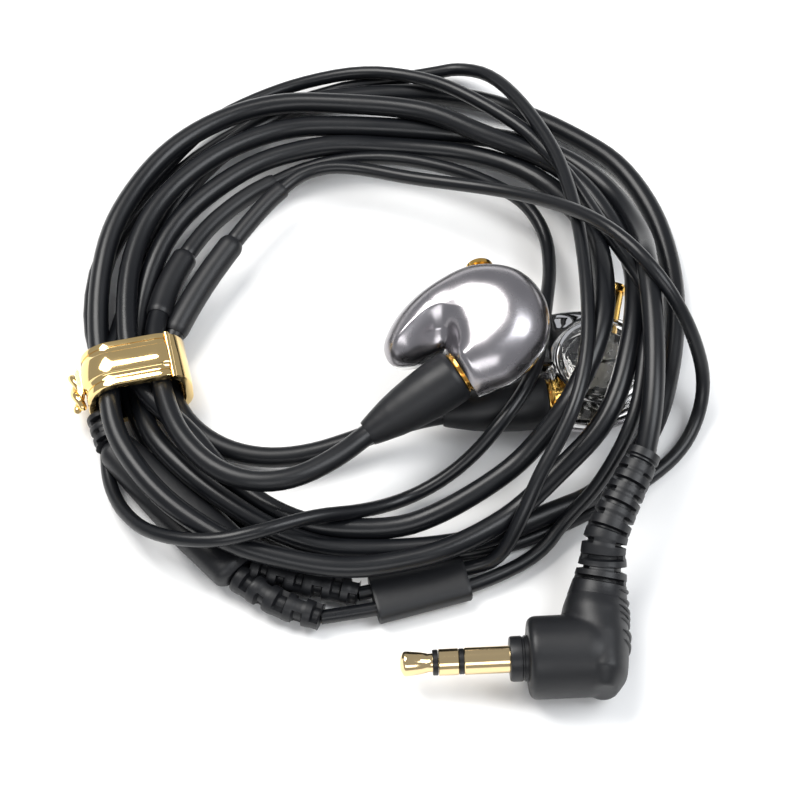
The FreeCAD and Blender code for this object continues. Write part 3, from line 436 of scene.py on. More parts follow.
def chain(side):
    """One leg's route points, from the split's relief to the earphone's boot, and where they change.

    The marks are the points at which the leg's sleeve tip, its sleeve and the stiff wire begin.
    """
    sign = -1 if side == "left" else 1
    through = [put(SLIDER, (x, sign * 1.35, 0))[0] for x in (-0.2, 6.0, 13.5)]
    soft = TO_LEFT if side == "left" else TO_RIGHT
    stiff = LEFT_END if side == "left" else RIGHT_END
    back = put(EARS[side], [(BOOT_BACK, 0, 0), (BOOT_BACK + 3.0, 0, 0)])
    route = [spot(RELIEFS[side][1]), *through, *(spot(p) for p in soft), *(spot(p) for p in stiff), *back]
    first = 4 + len(soft)
    marks = (first - 1, first + (2 if side == "left" else 1), first + (4 if side == "left" else 3))
    return np.array(route), marks


routes = {"main": np.array([spot(p) for p in MAIN_ROUTE])}
marks = {"main": (len(MAIN_ROUTE),) * 3}
for side in ("left", "right"):
    routes[side], marks[side] = chain(side)


def weights(count, where):
    """How much each of a route's control points pulls its order 3 spline at each place along it."""
    knots = np.concatenate([[0, 0], np.arange(count - 1), [count - 2, count - 2]]).astype(float)
    where = np.clip(where, 0, count - 2 - 1e-9)
    pull = ((knots[None, :-1] <= where[:, None]) & (where[:, None] < knots[None, 1:])).astype(float)
    for degree in (1, 2):
        low, high = knots[:-degree - 1], knots[degree + 1:]
        span_1 = knots[degree:-1] - knots[:-degree - 1]
        span_2 = knots[degree + 1:] - knots[1:-degree]
        rise = (where[:, None] - low[None]) / np.where(span_1 > 0, span_1, 1)[None]
        fall = (high[None] - where[:, None]) / np.where(span_2 > 0, span_2, 1)[None]
        first, second = np.where(span_1 > 0, rise, 0), np.where(span_2 > 0, fall, 0)
        pull = first * pull[:, :-1] + second * pull[:, 1:]
    return pull


# Owners of the fixed bodies besides the cables' own numbers, which are 0, 1 and 2.
ON_SLIDER, NO_CABLE = 8, 9


def fixed_pieces():
    """Round bodies that the cable must lie clear of: points, radii and the cable they belong to."""
    points, sizes, owner = [], [], []

    def add(frame_at, xs, ys, radius, whose):
        for x in xs:
            for y in ys:
                points.append(put(frame_at, (x, y, 0))[0])
                sizes.append(radius(x))
                owner.append(whose)

    add(SPLIT, np.arange(1.5, 26, 1.6), (-1.0, 1.0), lambda x: 1.7 + 0.75 * min(1.0, x / 10), NO_CABLE)
    add(SLIDER, np.arange(0.6, 15.6, 1.4), (-1.7, 0, 1.7), lambda x: 1.95, ON_SLIDER)
    for nozzle in ("left_nozzle", "right_nozzle"):
        stem, mouth = (sum(np.array(corner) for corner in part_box(node)) / 2 / MM
                       for node in (nozzle, nozzle + "_screen"))
        for share in np.linspace(0, 1.2, 4):
            points.append(stem + (mouth - stem) * share - np.array([0, 0, 0.45]))
            sizes.append(2.8)
            owner.append(NO_CABLE)
    for side, whose in (("left", 1), ("right", 2)):
        def boot(x):
            return 1.8 + 1.6 * min(1.0, max(0.0, (x - BOOT_BACK) / 9))

        add(EARS[side], np.arange(BOOT_BACK + 1, -0.5, 1.5), (0,), boot, whose)
    return np.array(points), np.array(sizes), np.array(owner)


def samples(route, step=1.6):
    """The spline's weights at places about a step apart, and the place of each in control points."""
    fine = np.linspace(0, len(route) - 2, 12 * len(route))
    along = lengths(weights(len(route), fine) @ route)
    where = np.interp(np.arange(0, along[-1], step), along, fine)
    return weights(len(route), where), where


def held_points(name):
    """Which of a route's points stay where they are: its ends, and a leg's way through the slider."""
    last = len(routes[name]) - 1
    return np.isin(np.arange(last + 1), (0, 1, last) if name == "main" else (0, 1, 2, 3, last - 1, last))


def overlaps(points, others, reach, allowed):
    """The way and the distance from each of others to each point, and how far the two overlap."""
    gap = points[:, None, :] - others[None, :, :]
    far = np.sqrt((gap ** 2).sum(2)) + 1e-9
    return gap, far, np.where(allowed & (far < reach), reach - far, 0.0)


# The tie's opening: half widths across and up, its corners' radius and where they are centred.
OPENING_HALF, OPENING_TALL, OPENING_CORNER, OPENING_CENTRES = 5.9, 4.0, 2.8, (3.1, 1.2)


def into_tie(points, size):
    """Points of strands with these radii, moved inside the tie's rounded opening where they pass it."""
    local = (points - TIE[:3, 3]) @ TIE[:3, :3]
    caught = (np.abs(local[:, 1]) < 4.4) & (np.abs(local[:, 0]) < 8.2)
    x = np.clip(local[:, 0], -(OPENING_HALF - size), OPENING_HALF - size)
    z = np.clip(local[:, 2], -(OPENING_TALL - size), OPENING_TALL - size)
    centre_x, centre_z = OPENING_CENTRES
    cx, cz = np.maximum(np.abs(x) - centre_x, 0), np.maximum(np.abs(z) - centre_z, 0)
    out = np.sqrt(cx ** 2 + cz ** 2)
    ratio = np.minimum(1.0, np.maximum(OPENING_CORNER - size, 0.2) / np.maximum(out, 1e-6))
    x = np.where(cx > 0, np.sign(x) * (centre_x + cx * ratio), x)
    z = np.where(cz > 0, np.sign(z) * (centre_z + cz * ratio), z)
    local[:, 0] = np.where(caught, x, local[:, 0])
    local[:, 2] = np.where(caught, z, local[:, 2])
    return local @ TIE[:3, :3].T + TIE[:3, 3]


def strand_samples():
    """For all strands: the control points' pulls, and each sample's radius, cable and number along it."""
    pulls, size, owner, index = [], [], [], []
    for i, k in enumerate(routes):
        pull, where = samples(routes[k])
        pulls.append(pull)
        tip, sleeve, wire = (m - 0.5 for m in marks[k])
        radius = np.full(len(where), MAIN if k == "main" else LEG)
        radius[where > tip] = SLEEVE_TIP
        radius[where > sleeve] = SLEEVE
        radius[where > wire] = WIRE
        size.append(radius)
        owner.append(np.full(len(where), i))
        index.append(np.arange(len(where)))
    size, owner, index = np.concatenate(size), np.concatenate(owner), np.concatenate(index)
    pull = np.zeros((len(size), sum(len(route) for route in routes.values())))
    row = column = 0
    for part in pulls:
        pull[row:row + part.shape[0], column:column + part.shape[1]] = part
        row, column = row + part.shape[0], column + part.shape[1]
    return pull, size, owner, index


STRAND_GAP, FIXED_GAP, TABLE_GAP = 0.04, 0.05, 0.02


def settle(rounds=190):
    """Lays the strands against each other: where two overlap, their route points are pushed apart."""
    pull, size, owner, index = strand_samples()
    held = np.concatenate([held_points(k) for k in routes])
    control = np.vstack([routes[k] for k in routes])
    home = control.copy()
    back = pull.T / np.maximum((pull ** 2).sum(0), 1e-6)[:, None]
    fixed, fixed_size, fixed_owner = fixed_pieces()
    allowed = ~((owner[:, None] == owner[None, :]) & (np.abs(index[:, None] - index[None, :]) < 7))
    reach = size[:, None] + size[None, :] + STRAND_GAP
    fixed_reach = size[:, None] + fixed_size[None, :] + FIXED_GAP
    near_slider = (index < 21) & (owner > 0)
    own_slider = (fixed_owner[None, :] == ON_SLIDER) & near_slider[:, None]
    fixed_ok = (owner[:, None] != fixed_owner[None, :]) & ~own_slider
    rows = np.arange(len(size))
    for turn in range(rounds):
        loose = pull @ control
        gap, far, over = overlaps(loose, loose, reach, allowed)
        push = (gap / far[:, :, None] * over[:, :, None]).sum(1)
        count = np.maximum((over > 0).sum(1), 1)[:, None]
        move = 0.5 * push / np.sqrt(count) * np.array([0.75, 0.75, 1.0])
        gap, far, over = overlaps(loose, fixed, fixed_reach, fixed_ok)
        deepest = over.argmax(1)
        move += gap[rows, deepest] / far[rows, deepest][:, None] * over[rows, deepest][:, None] * 0.8
        wanted = into_tie(loose + move, size)
        wanted[:, 2] = np.maximum(wanted[:, 2], size + TABLE_GAP)
        step = 0.7 * (back @ (wanted - loose))
        step[held] = 0
        control += step
        if turn < rounds - 15:
            control += 0.03 * (home - control) * (~held)[:, None]
        row = 0
        for k, route in routes.items():
            part = control[row:row + len(route)]
            rough = part - home[row:row + len(route)]
            ease = np.zeros_like(part)
            ease[1:-1] = (rough[:-2] + rough[2:]) / 2 - rough[1:-1]
            part += ease * (0.18 if k == "main" else 0.4) * (~held[row:row + len(part)])[:, None]
            row += len(part)
    row = 0
    for k in list(routes):
        n = len(routes[k])
        routes[k] = control[row:row + n].copy()
        row += n
    loose = pull @ control
    left = overlaps(loose, loose, reach, allowed)[2]
    print("strands overlap by at most", round(float(left.max()), 2),
          "mm, by over 0.3 in", int((left > 0.3).sum()), "pairs")
    moved = np.linalg.norm(control - home, axis=1).max()
    print("route points moved at most", round(float(moved), 1), "mm")


settle()


def spline(name, route, resolution):
    """A curve with one open order 3 spline on a route's points."""
    curve = bpy.data.curves.new(name, "CURVE")
    curve.dimensions = "3D"
    curve.resolution_u = resolution
    line = curve.splines.new("NURBS")
    line.points.add(len(route) - 1)
    for control, point in zip(line.points, route):
        control.co = (*(point * MM), 1.0)
    line.order_u = 3
    line.use_endpoint_u = True
    return curve


def strand(name, route, radius, slot, *nodes):
    """A cable as a curve with a round section."""
    curve = spline(name, route, 4)
    curve.bevel_depth = radius * MM
    curve.bevel_resolution = 7
    curve.use_fill_caps = True
    curve.materials.append(MATS[slot])
    obj = bpy.data.objects.new(name, curve)
    bpy.context.scene.collection.objects.link(obj)
    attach(obj, "cable")
    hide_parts(*nodes)
    return obj


def spline_line(route, start, end):
    """Points along a route's own spline, between two of its control points, read from a curve."""
    curve = spline("line", route, 14)
    obj = bpy.data.objects.new("line", curve)
    mesh = bpy.data.meshes.new_from_object(obj)
    points = np.array([v.co[:] for v in mesh.vertices]) / MM
    bpy.data.objects.remove(obj)
    bpy.data.curves.remove(curve)
    bpy.data.meshes.remove(mesh)
    first = int(np.argmin(np.linalg.norm(points - route[start], axis=1)))
    last = int(np.argmin(np.linalg.norm(points - route[end], axis=1)))
    return points[first:last + 1]


def real_length(route):
    """A route's length in metres, as its spline runs."""
    pull = weights(len(route), np.linspace(0, len(route) - 2, 12 * len(route)))
    return float(lengths(pull @ route)[-1]) * MM


main = strand("main_cable", routes["main"][::-1], MAIN, "cable_jacket",
              "cable_coil", "cable_crossing_turns", "cable_outer_turn", "plug_lead")
for side in ("left", "right"):
    tip, sleeve, wire_start = marks[side]
    route = routes[side]
    leg = strand(f"{side}_leg_cable", route[:tip + 2], LEG, "cable_jacket",
                 f"{side}_leg", f"{side}_short_leg")
    wire = strand(f"{side}_ear_wire", route[wire_start - 1:][::-1], WIRE, "wire_jacket",
                  f"{side}_formable_wire")
    real_length(route[:tip + 2])
    real_length(route[wire_start - 1:])

    def tip_radius(s, turn):
        return np.full(len(turn), SLEEVE_TIP - 0.14 * max(0.0, 1 - s * 40) - 0.1 * max(0.0, s * 40 - 39))

    def sleeve_radius(s, turn):
        ease = max(0.0, 1 - s * 16) ** 2 * 0.4 + max(0.0, s * 16 - 15) ** 2 * 0.25
        return np.full(len(turn), SLEEVE - ease)

    for name, start, end, shape in (("sleeve_tip", tip, sleeve, tip_radius),
                                    ("sleeve", sleeve, wire_start, sleeve_radius)):
        solid(f"{side}_{name}_skin", *tube(resample(spline_line(route, start, end), 0.35), shape),
              "shrink_sleeve", "cable", f"{side}_{name}")

# ---------------------------------------------------------------- split, reliefs and slider


def split_shape(s, turn):
    a = 2.4 + 1.35 * min(1.0, s / 0.6) ** 0.8
    b = 2.2 + 0.2 * min(1.0, s / 0.4)
    ends = 1 - 0.28 * max(0.0, 1 - s / 0.05) ** 2 - 0.28 * max(0.0, 1 - (1 - s) / 0.05) ** 2
    return oblong(a, b, 2.7)(turn) * ends


split_path = put(SPLIT, [(x, 0, 0) for x in np.linspace(0, 26, 90)])
solid("split_skin", *tube(split_path, split_shape, 64), "black_moulding", "cable", "y_split_body")
solid("split_main_relief_skin",
      *tube(rib_path((201.2, 39.7, 3.2), (207.9, 40.2, 3.0), 3), ribbed(2.2, 2.2, 3, 0.66, 0.58), 48),
      "black_rubber", "cable", "y_split_main_relief")
for side, ribs, bow in (("left", 5, (0, -0.9, 0)), ("right", 6, (0, -0.2, 0))):
    solid(f"split_{side}_relief_skin",
          *tube(rib_path(*RELIEFS[side], ribs, bow), ribbed(2.05, 1.8, ribs, 0.6, 0.56), 48),
          "black_rubber", "cable", f"y_split_{side}_relief")


def slider_shape(s, turn):
    ends = 1 - 0.06 * max(0.0, 1 - s / 0.02) ** 2 - 0.06 * max(0.0, 1 - (1 - s) / 0.02) ** 2
    return oblong(3.35 - 0.35 * s, 1.45, 3.4)(turn) * ends


slider_path = put(SLIDER, [(x, 0, 0) for x in np.linspace(0, 12.6, 60)])
solid("slider_skin", *tube(slider_path, slider_shape, 56), "black_moulding", "slider", "slider")

# ---------------------------------------------------------------- the plug


def rounded(x_1, x_2, radius, ease_1, ease_2):
    """A cylinder's profile with rounded ends."""
    turn = np.linspace(0, math.pi / 2, 7)
    start = [(x_1 + ease_1 * (1 - math.sin(t)), radius - ease_1 * (1 - math.cos(t))) for t in turn[::-1]]
    end = [(x_2 - ease_2 * (1 - math.sin(t)), radius - ease_2 * (1 - math.cos(t))) for t in turn]
    return sorted([(x_1, 0.01)] + start) + sorted(end, key=lambda p: p[0]) + [(x_2, 0.01)]


solid("jack_tip", *lathe(JACK, [(0, 0.05), (0.02, 0.75), (0.2, 1.12), (0.42, 1.5), (0.6, 1.6), (0.9, 1.61),
                                (2.6, 1.42), (3.4, 1.27), (3.5, 1.2), (4.15, 1.2), (4.15, 0.05)]),
      "plug_contact", "cable", "plug_tip")
solid("jack_ring", *lathe(JACK, [(4.9, 0.6), (4.9, 1.62), (4.98, 1.72), (7.42, 1.72), (7.5, 1.62),
                                 (7.5, 0.6)]),
      "plug_contact", "cable", "plug_ring")
solid("jack_sleeve", *lathe(JACK, [(8.2, 0.6), (8.2, 1.66), (8.3, 1.75), (14.0, 1.75), (14.0, 0.6)]),
      "plug_contact", "cable", "plug_sleeve")
solid("jack_insulators", *join(*(
    lathe(JACK, [(x, 0.6), (x, 1.58), (x + 0.1, 1.66), (x + 0.6, 1.66), (x + 0.7, 1.58), (x + 0.7, 0.6)])
    for x in (4.15, 7.5))), "insulator", "cable", "plug_insulators")
solid("jack_collar", *lathe(JACK, [(14.0, 1.7), (14.0, 2.7), (14.1, 2.85), (14.35, 2.92), (15.5, 2.92),
                                   (15.6, 2.8), (15.8, 2.8), (15.9, 2.95), (16.4, 2.95), (16.4, 1.7)]),
      "black_moulding", "cable", "plug_collar")
ARM = [(25.7, -5.2, -0.2), (25.9, -2.4, 0), (25.6, 1.5, 0), (25.3, 4.8, 0.2), (25.8, 7.6, 0.6),
       (26.6, 11.0, 2.0), (27.3, 14.6, 4.2)]
ARM_PATH = smooth_path([*put(JACK, ARM), spot(MAIN_ROUTE[0])], 0.2)
ARM_SPLIT = int(np.argmin(np.linalg.norm(ARM_PATH - put(JACK, ARM[4])[0], axis=1)))
ARM_WIDTHS = np.array([(0.0, 1.6, 3.0), (0.06, 2.9, 4.7), (0.2, 3.9, 5.1), (0.32, 4.35, 4.8),
                       (0.43, 3.6, 3.9), (0.56, 2.95, 3.1), (0.75, 2.7, 2.7), (1.0, 2.2, 2.2)])


def arm_shape(s, turn):
    """The arm's section at a share of its length: across the jack's line, and up and down."""
    a = np.interp(s, ARM_WIDTHS[:, 0], ARM_WIDTHS[:, 1])
    b = np.interp(s, ARM_WIDTHS[:, 0], ARM_WIDTHS[:, 2])
    return oblong(a, b, 2.15)(turn)


def plug_housing():
    """The barrel and the arm that turns off it, run together into one moulding with soft corners."""
    barrel = lathe(JACK, rounded(16.3, 27.9, 5.35, 1.0, 3.8), 96)
    whole = lengths(ARM_PATH)[-1]
    part = ARM_PATH[:ARM_SPLIT + 6]
    share = lengths(part)[-1] / whole
    arm = tube(part, lambda s, turn: arm_shape(s * share, turn), 72)
    obj = solid("plug_housing", *join(barrel, arm), "black_moulding", "cable", "plug_body")
    merge = obj.modifiers.new("merge", "REMESH")
    merge.mode = "VOXEL"
    merge.voxel_size = 0.00022
    merge.use_smooth_shade = True
    soften = obj.modifiers.new("soften", "SMOOTH")
    soften.factor = 0.6
    soften.iterations = 14


def back_grooves():
    """Short raised lips along the outside of the arm, with grooves between them."""

    def lip_radius(s, turn):
        return np.full(len(turn), 0.26 * (1 - (2 * s - 1) ** 4) + 0.03)

    parts = []
    whole = lengths(ARM_PATH)[-1]
    for k in range(7):
        share = 0.16 + k * 0.045
        i = int(np.argmin(np.abs(lengths(ARM_PATH) - share * whole)))
        way = ARM_PATH[i + 1] - ARM_PATH[i - 1]
        way /= np.linalg.norm(way)
        side = JACK[:3, 0] - way * way.dot(JACK[:3, 0])
        side /= np.linalg.norm(side)
        high = np.cross(side, way)
        turn = np.radians(np.linspace(-52, 52, 26))
        radius = arm_shape(share, turn)
        arc = section_ring(ARM_PATH[i], side, high, radius, turn)
        parts.append(tube(arc, lip_radius, 12, up=way))
    return join(*parts)


plug_housing()
solid("plug_back_ribs", *back_grooves(), "black_moulding", "cable")


def boot_shape(s, turn):
    """The flexible end of the arm: thin slots that alternate from side to side, and a plain top ring."""
    share = lengths(ARM_PATH[:ARM_SPLIT])[-1] / lengths(ARM_PATH)[-1]
    base = arm_shape(share + (1 - share) * s, turn)
    if s < 0.05 or s > 0.93:
        return base * (1.0 if s < 0.05 or s > 0.95 else 0.86)
    phase = (s - 0.05) / 0.88 * 11
    inside = phase - int(phase)
    if inside < 0.68:
        return base
    return np.where(webs(turn, int(phase)), base * 0.97, base * 0.76)


solid("plug_boot_skin", *tube(ARM_PATH[ARM_SPLIT:], boot_shape, 64), "black_rubber", "cable", "plug_boot")

# ---------------------------------------------------------------- the earphones

BEAN = [
    (0.0, -4.2), (5.2, -5.2), (11.4, -3.3), (14.6, 1.8), (14.0, 7.6), (9.7, 11.7),
    (3.4, 12.8), (-2.4, 11.8), (-6.6, 9.0), (-7.0, 6.4), (-5.0, 4.9), (-2.2, 4.5), (0.0, 4.2),
]
BEAN_CENTRE, POD_CENTRE = np.array([4.8, 4.2]), np.array([7.2, 3.2])


def bean(count=160):
    curve = smooth_path([(x, y, 0) for x, y in BEAN], 0.2)[:, :2]
    front = np.linspace(BEAN[-1], BEAN[0], 20)[1:-1]
    loop = np.vstack([curve, front])
    closed = np.vstack([loop, loop[:1]])
    along = np.concatenate([[0], np.cumsum(np.linalg.norm(np.diff(closed, axis=0), axis=1))])
    where = np.linspace(0, along[-1], count, endpoint=False)
    return np.stack([np.interp(where, along, closed[:, i]) for i in range(2)], 1)


OUTLINE = bean()


def edge_distance(points):
    """How far each point in the bean's plane is from its outline, the straight front left out."""
    a = OUTLINE
    b = np.roll(OUTLINE, -1, axis=0)
    curved = (np.abs(a[:, 0]) > 0.02) | (np.abs(b[:, 0]) > 0.02)
    a, b = a[curved], b[curved]
    d = b - a
    t = ((points[:, None, :] - a[None]) * d[None]).sum(2) / (d ** 2).sum(1)[None]
    near = a[None] + np.clip(t, 0, 1)[:, :, None] * d[None]
    return np.linalg.norm(points[:, None, :] - near, axis=2).min(1)


def segment_distance(points, a, b):
    a, b = np.array(a, float), np.array(b, float)
    t = np.clip(((points - a) @ (b - a)) / ((b - a) @ (b - a)), 0, 1)
    return np.linalg.norm(points - (a + t[:, None] * (b - a)), axis=1), t


def shell_height(points):
    """A full rounded cover with a fold that runs in from the notch beside the connector."""
    edge = edge_distance(points)
    share = np.clip(edge / 6.2, 0, 1)
    height = 4.75 * (1 - (1 - share) ** 2.3) ** 0.62
    fold, t = segment_distance(points, (-0.8, 4.2), (3.0, 7.6))
    depth = 2.3 * (1 - 0.8 * t) * np.exp(-(fold / 2.0) ** 2)
    wall, _ = segment_distance(points, (0.0, -4.2), (0.0, 3.4))
    front = 1 - 0.3 * (1 - np.clip(wall / 1.5, 0, 1)) ** 2
    return np.maximum((height - depth * np.clip(share * 3, 0, 1)) * front, 0.0)


def earphone(side):
    place, out = EARS[side], OUT[side]
    rings = []
    for scale in np.concatenate([[1.0, 0.995, 0.985, 0.97, 0.95, 0.925], np.linspace(0.895, 0.03, 44)]):
        flat = BEAN_CENTRE + (OUTLINE - BEAN_CENTRE) * scale
        height = shell_height(flat)
        if scale == 1:
            rings += [put(place, np.column_stack([flat, out * height * k]))
                      for k in (0.0, 0.3, 0.6, 0.85)]
        rings.append(put(place, np.column_stack([flat, out * (height + 0.05)])))
    lip = BEAN_CENTRE + (OUTLINE - BEAN_CENTRE) * 0.93
    under = put(place, np.column_stack([lip, np.zeros(len(lip))]))
    points, faces = skin([under] + rings)
    if out > 0:
        faces = [f[::-1] for f in faces]
    solid(f"{side}_shell_skin", points, faces, "polished_shell", f"{side}_earphone",
          f"{side}_outer_shell", sharp=50)
    clear_half(side)
    gold_and_boot(side)


def clear_half(side):
    """The clear moulding: a rim like the cover's, running into a round pod, with a hollow inside."""
    place, out = EARS[side], OUT[side]
    to_edge = OUTLINE - POD_CENTRE
    angle = np.arctan2(to_edge[:, 1], to_edge[:, 0])

    def ring(scale, deep, blend, radius):
        flat = BEAN_CENTRE + (OUTLINE - BEAN_CENTRE) * scale
        circle = POD_CENTRE + radius * np.column_stack([np.cos(angle), np.sin(angle)])
        mix = flat * (1 - blend) + circle * blend
        return put(place, np.column_stack([mix, np.full(len(mix), -out * deep)]))

    outer = [ring(*r) for r in (
        (0.02, 0.0, 0, 0), (0.955, 0.0, 0, 0), (0.985, 0.12, 0, 0), (0.99, 0.5, 0, 0), (0.985, 1.2, 0, 0),
        (0.965, 1.75, 0, 0), (0.93, 2.05, 0, 0), (0.86, 2.25, 0.15, 6.6), (0.84, 2.6, 0.55, 6.6),
        (0.8, 3.1, 0.9, 6.6), (0.8, 3.6, 1, 6.5), (0.8, 4.4, 1, 6.35), (0.8, 4.9, 1, 6.0), (0.8, 5.15, 1, 5.3),
        (0.8, 5.2, 1, 4.2), (0.8, 5.2, 1, 0.1))]
    inner = [ring(*r) for r in (
        (0.02, 0.25, 0, 0), (0.86, 0.25, 0, 0), (0.885, 0.5, 0, 0), (0.88, 1.2, 0, 0), (0.84, 1.45, 0.1, 5.6),
        (0.8, 1.9, 0.6, 5.6), (0.8, 2.6, 1, 5.5), (0.8, 4.0, 1, 5.3), (0.8, 4.4, 1, 4.6), (0.8, 4.5, 1, 0.1))]
    points_1, faces_1 = skin(outer)
    points_2, faces_2 = skin(inner)
    if out > 0:
        faces_2 = [f[::-1] for f in faces_2]
    else:
        faces_1 = [f[::-1] for f in faces_1]
    points, faces = join((points_1, faces_1), (points_2, faces_2))
    solid(f"{side}_clear_skin", points, faces, "clear_resin", f"{side}_earphone",
          f"{side}_clear_housing", sharp=60)


def gold_and_boot(side):
    place = EARS[side]
    ring = [(-0.62, 1.75), (-0.62, 2.7), (-0.55, 2.95), (-0.4, 3.0), (-0.3, 2.78), (-0.2, 2.78), (-0.12, 3.0),
            (-0.02, 3.0), (0.02, 2.2), (3.2, 1.9), (3.2, 1.75)]
    solid(f"{side}_socket_skin", *lathe(place, ring, 96), "gold_plate", f"{side}_earphone",
          f"{side}_mmcx_socket")
    profile = [(BOOT_BACK, 1.42), (BOOT_BACK, 1.72), (-14.3, 1.9), (-13, 2.25), (-11, 2.75), (-9, 3.1), (-7, 3.36),
               (-5, 3.54), (-3, 3.62), (-1.5, 3.6), (-0.9, 3.5), (-0.7, 3.3), (-0.68, 3.0), (-0.68, 2.2),
               (-4.0, 2.2), (-4.0, 1.0), (BOOT_BACK, 1.0)]
    fine = []
    for (x_1, r_1), (x_2, r_2) in zip(profile[:12], profile[1:13]):
        steps = 6 if abs(x_2 - x_1) > 1 else 1
        fine += [(x_1 + (x_2 - x_1) * k / steps, r_1 + (r_2 - r_1) * k / steps) for k in range(steps)]
    solid(f"{side}_boot_skin", *lathe(place, fine + profile[12:]), "black_rubber", "cable",
          f"{side}_connector_boot")


for side in ("left", "right"):
    earphone(side)
for node_name in frame["nodes"]:
    if node_name.endswith(("driver", "board")):
        bevel = frame["nodes"][node_name].modifiers.new("rounding", "BEVEL")
        bevel.width = 0.0003
        bevel.segments = 3

# ---------------------------------------------------------------- the tie

TIE_HALF, TIE_TALL, TIE_CORNER = 7.1, 5.2, 4.0


def tie_loop(count=240):
    """The band's outer outline from the left seam, over the top and round underneath."""
    points = []
    corners = [(1, 1, 0), (-1, 1, 90), (-1, -1, 180), (1, -1, 270)]
    for sx, sz, start in corners:
        cx, cz = sx * (TIE_HALF - TIE_CORNER), sz * (TIE_TALL - TIE_CORNER)
        for t in np.radians(np.linspace(start, start + 90, 24)):
            points.append((cx + TIE_CORNER * math.cos(t), cz + TIE_CORNER * math.sin(t)))
    closed = np.array(points + points[:1])
    along = np.concatenate([[0], np.cumsum(np.linalg.norm(np.diff(closed, axis=0), axis=1))])
    where = np.linspace(0, along[-1], count, endpoint=False)
    loop = np.stack([np.interp(where, along, closed[:, i]) for i in range(2)], 1)
    way = np.roll(loop, -1, axis=0) - np.roll(loop, 1, axis=0)
    normal = np.stack([way[:, 1], -way[:, 0]], 1)
    return loop, normal / np.linalg.norm(normal, axis=1)[:, None]


def band(section, keep):
    """A stretch of the band as a solid: section is (across, out) pairs."""
    loop, normal = tie_loop()
    chosen = [i for i in range(len(loop)) if keep(*loop[i])]
    cut = next((k for k in range(1, len(chosen)) if chosen[k] != chosen[k - 1] + 1), 0)
    chosen = chosen[cut:] + chosen[:cut]
    rings = []
    for i in chosen:
        ring = [(loop[i][0] + normal[i][0] * n, y, loop[i][1] + normal[i][1] * n) for y, n in section]
        rings.append(put(TIE, ring))
    return skin(rings)


EDGE = [(-3.3, -1.1), (-3.4, -1.0), (-3.4, -0.18), (-3.3, -0.04), (-3.15, 0.0)]
COVER_SECTION = EDGE + [(-2.55, 0.0), (-2.5, -0.12), (-2.35, -0.12), (-2.3, 0.0), (-1.75, 0.02), (-1.6, 0.12),
                        (-1.5, 0.33), (-1.35, 0.4), (1.35, 0.4), (1.5, 0.33), (1.6, 0.12), (1.75, 0.02),
                        (2.3, 0.0), (2.35, -0.12), (2.5, -0.12), (2.55, 0.0)] + [(-y, n) for y, n in EDGE[::-1]]
BASE_SECTION = EDGE + [(-y, n) for y, n in EDGE[::-1]]


def bar(frame_at, points, radius, segments):
    """A round bar with eased ends."""

    def eased(s, turn):
        return np.full(len(turn), radius * (1 - 0.4 * max(0.0, 1 - min(s, 1 - s) * 14) ** 2))

    return tube(resample(put(frame_at, points), 0.15), eased, segments)


def knuckle(y_1, y_2):
    """A piece of the hinge's barrel between two places along it."""
    return bar(TIE, [(4.8, y_1, 4.5), (4.8, y_2, 4.5)], 0.45, 32)


cover_band = band(COVER_SECTION, lambda x, z: z >= 0.9 and x < 4.5)
cover_knuckle = knuckle(-1.6, 1.6)
solid("tie_cover_skin", *join(cover_band, cover_knuckle), "gold_tie", "tie_cover", "tie_cover")
base_band = band(BASE_SECTION, lambda x, z: z <= 0.75 or x > 5.05)
knuckles = [knuckle(y, y + 1.7) for y in (-3.4, 1.7)]
solid("tie_base_skin", *join(base_band, *knuckles), "gold_tie", "cable", "tie_base")


def clasp():
    """Two twisted bars and a tongue that catch on the fixed half."""
    parts = []
    for offset in (0.0, math.pi):
        points = []
        for k in range(40):
            s = k / 39
            turn = offset + s * 2 * math.pi
            points.append((-8.2 + 0.42 * math.cos(turn), -2.7 + 5.4 * s, -1.2 + 0.62 * math.sin(turn)))
        parts.append(bar(TIE, points, 0.55, 18))
    tongue = resample(put(TIE, [(-7.75, 0, z) for z in (1.6, 0.4, -1.4, -2.4)]), 0.2)
    shape = oblong(2.1, 0.35, 4)
    parts.append(tube(tongue, lambda s, turn: shape(turn), 32, up=TIE[:3, 0]))
    return join(*parts)


solid("tie_clasp_skin", *clasp(), "gold_tie", "tie_cover", "tie_clasp")
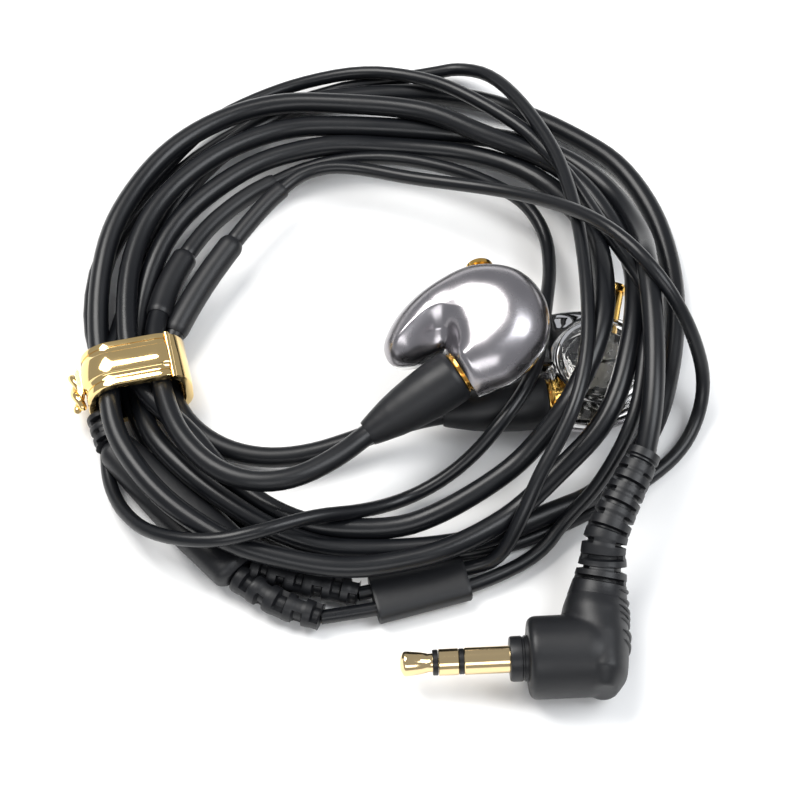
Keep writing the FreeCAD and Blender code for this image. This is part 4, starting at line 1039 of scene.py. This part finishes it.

# ---------------------------------------------------------------- the main cable's length

real_length(routes["main"])

# ---------------------------------------------------------------- table, light and camera

floor_mesh = bpy.data.meshes.new("table")
floor_mesh.from_pydata([(-2, -2, 0), (2, -2, 0), (2, 2, 0), (-2, 2, 0)], [], [(0, 1, 2, 3)])
floor = bpy.data.objects.new("table", floor_mesh)
bpy.context.scene.collection.objects.link(floor)
floor.location.z = -0.0001
paper, paper_bsdf = shader("paper", (0.90, 0.90, 0.895), 0.6)
vary_rough(paper, paper_bsdf, 12, 0.55, 0.7)
floor_mesh.materials.append(paper)

world = bpy.data.worlds.new("studio")
bpy.context.scene.world = world
world.use_nodes = True
world.node_tree.nodes["Background"].inputs["Color"].default_value = (0.93, 0.95, 1.0, 1)
world.node_tree.nodes["Background"].inputs["Strength"].default_value = 0.42


def softbox(name, place, aim, wide, tall, power, tint=(1, 1, 1)):
    data = bpy.data.lights.new(name, "AREA")
    data.shape = "RECTANGLE"
    data.size, data.size_y = wide, tall
    data.energy = power
    data.color = tint
    light = bpy.data.objects.new(name, data)
    light.location = place
    way = Vector(aim) - Vector(place)
    light.rotation_euler = way.to_track_quat("-Z", "Y").to_euler()
    bpy.context.scene.collection.objects.link(light)


softbox("key", (-0.30, 0.22, 0.62), (0, 0, 0), 0.42, 0.42, 5.2, (1, 0.985, 0.96))
softbox("fill", (0.38, -0.05, 0.55), (0, 0, 0), 0.34, 0.42, 2.8, (0.95, 0.975, 1))
softbox("front", (-0.05, -0.55, 0.45), (0, 0, 0), 0.5, 0.25, 1.2)

view = bpy.data.cameras.new("camera")
view.sensor_width = 36
view.lens = 132.3
camera = bpy.data.objects.new("camera", view)
target = np.array([COIL[0] + 3, COIL[1] - 10, 0.0])
far, tilt = 400, math.radians(60)
camera.location = tuple((target + far * np.array([0, -math.cos(tilt), math.sin(tilt)])) * MM)
camera.rotation_euler = (math.radians(90) - tilt, 0, 0)
bpy.context.scene.collection.objects.link(camera)
bpy.context.scene.camera = camera
bpy.context.scene.view_settings.view_transform = "Standard"
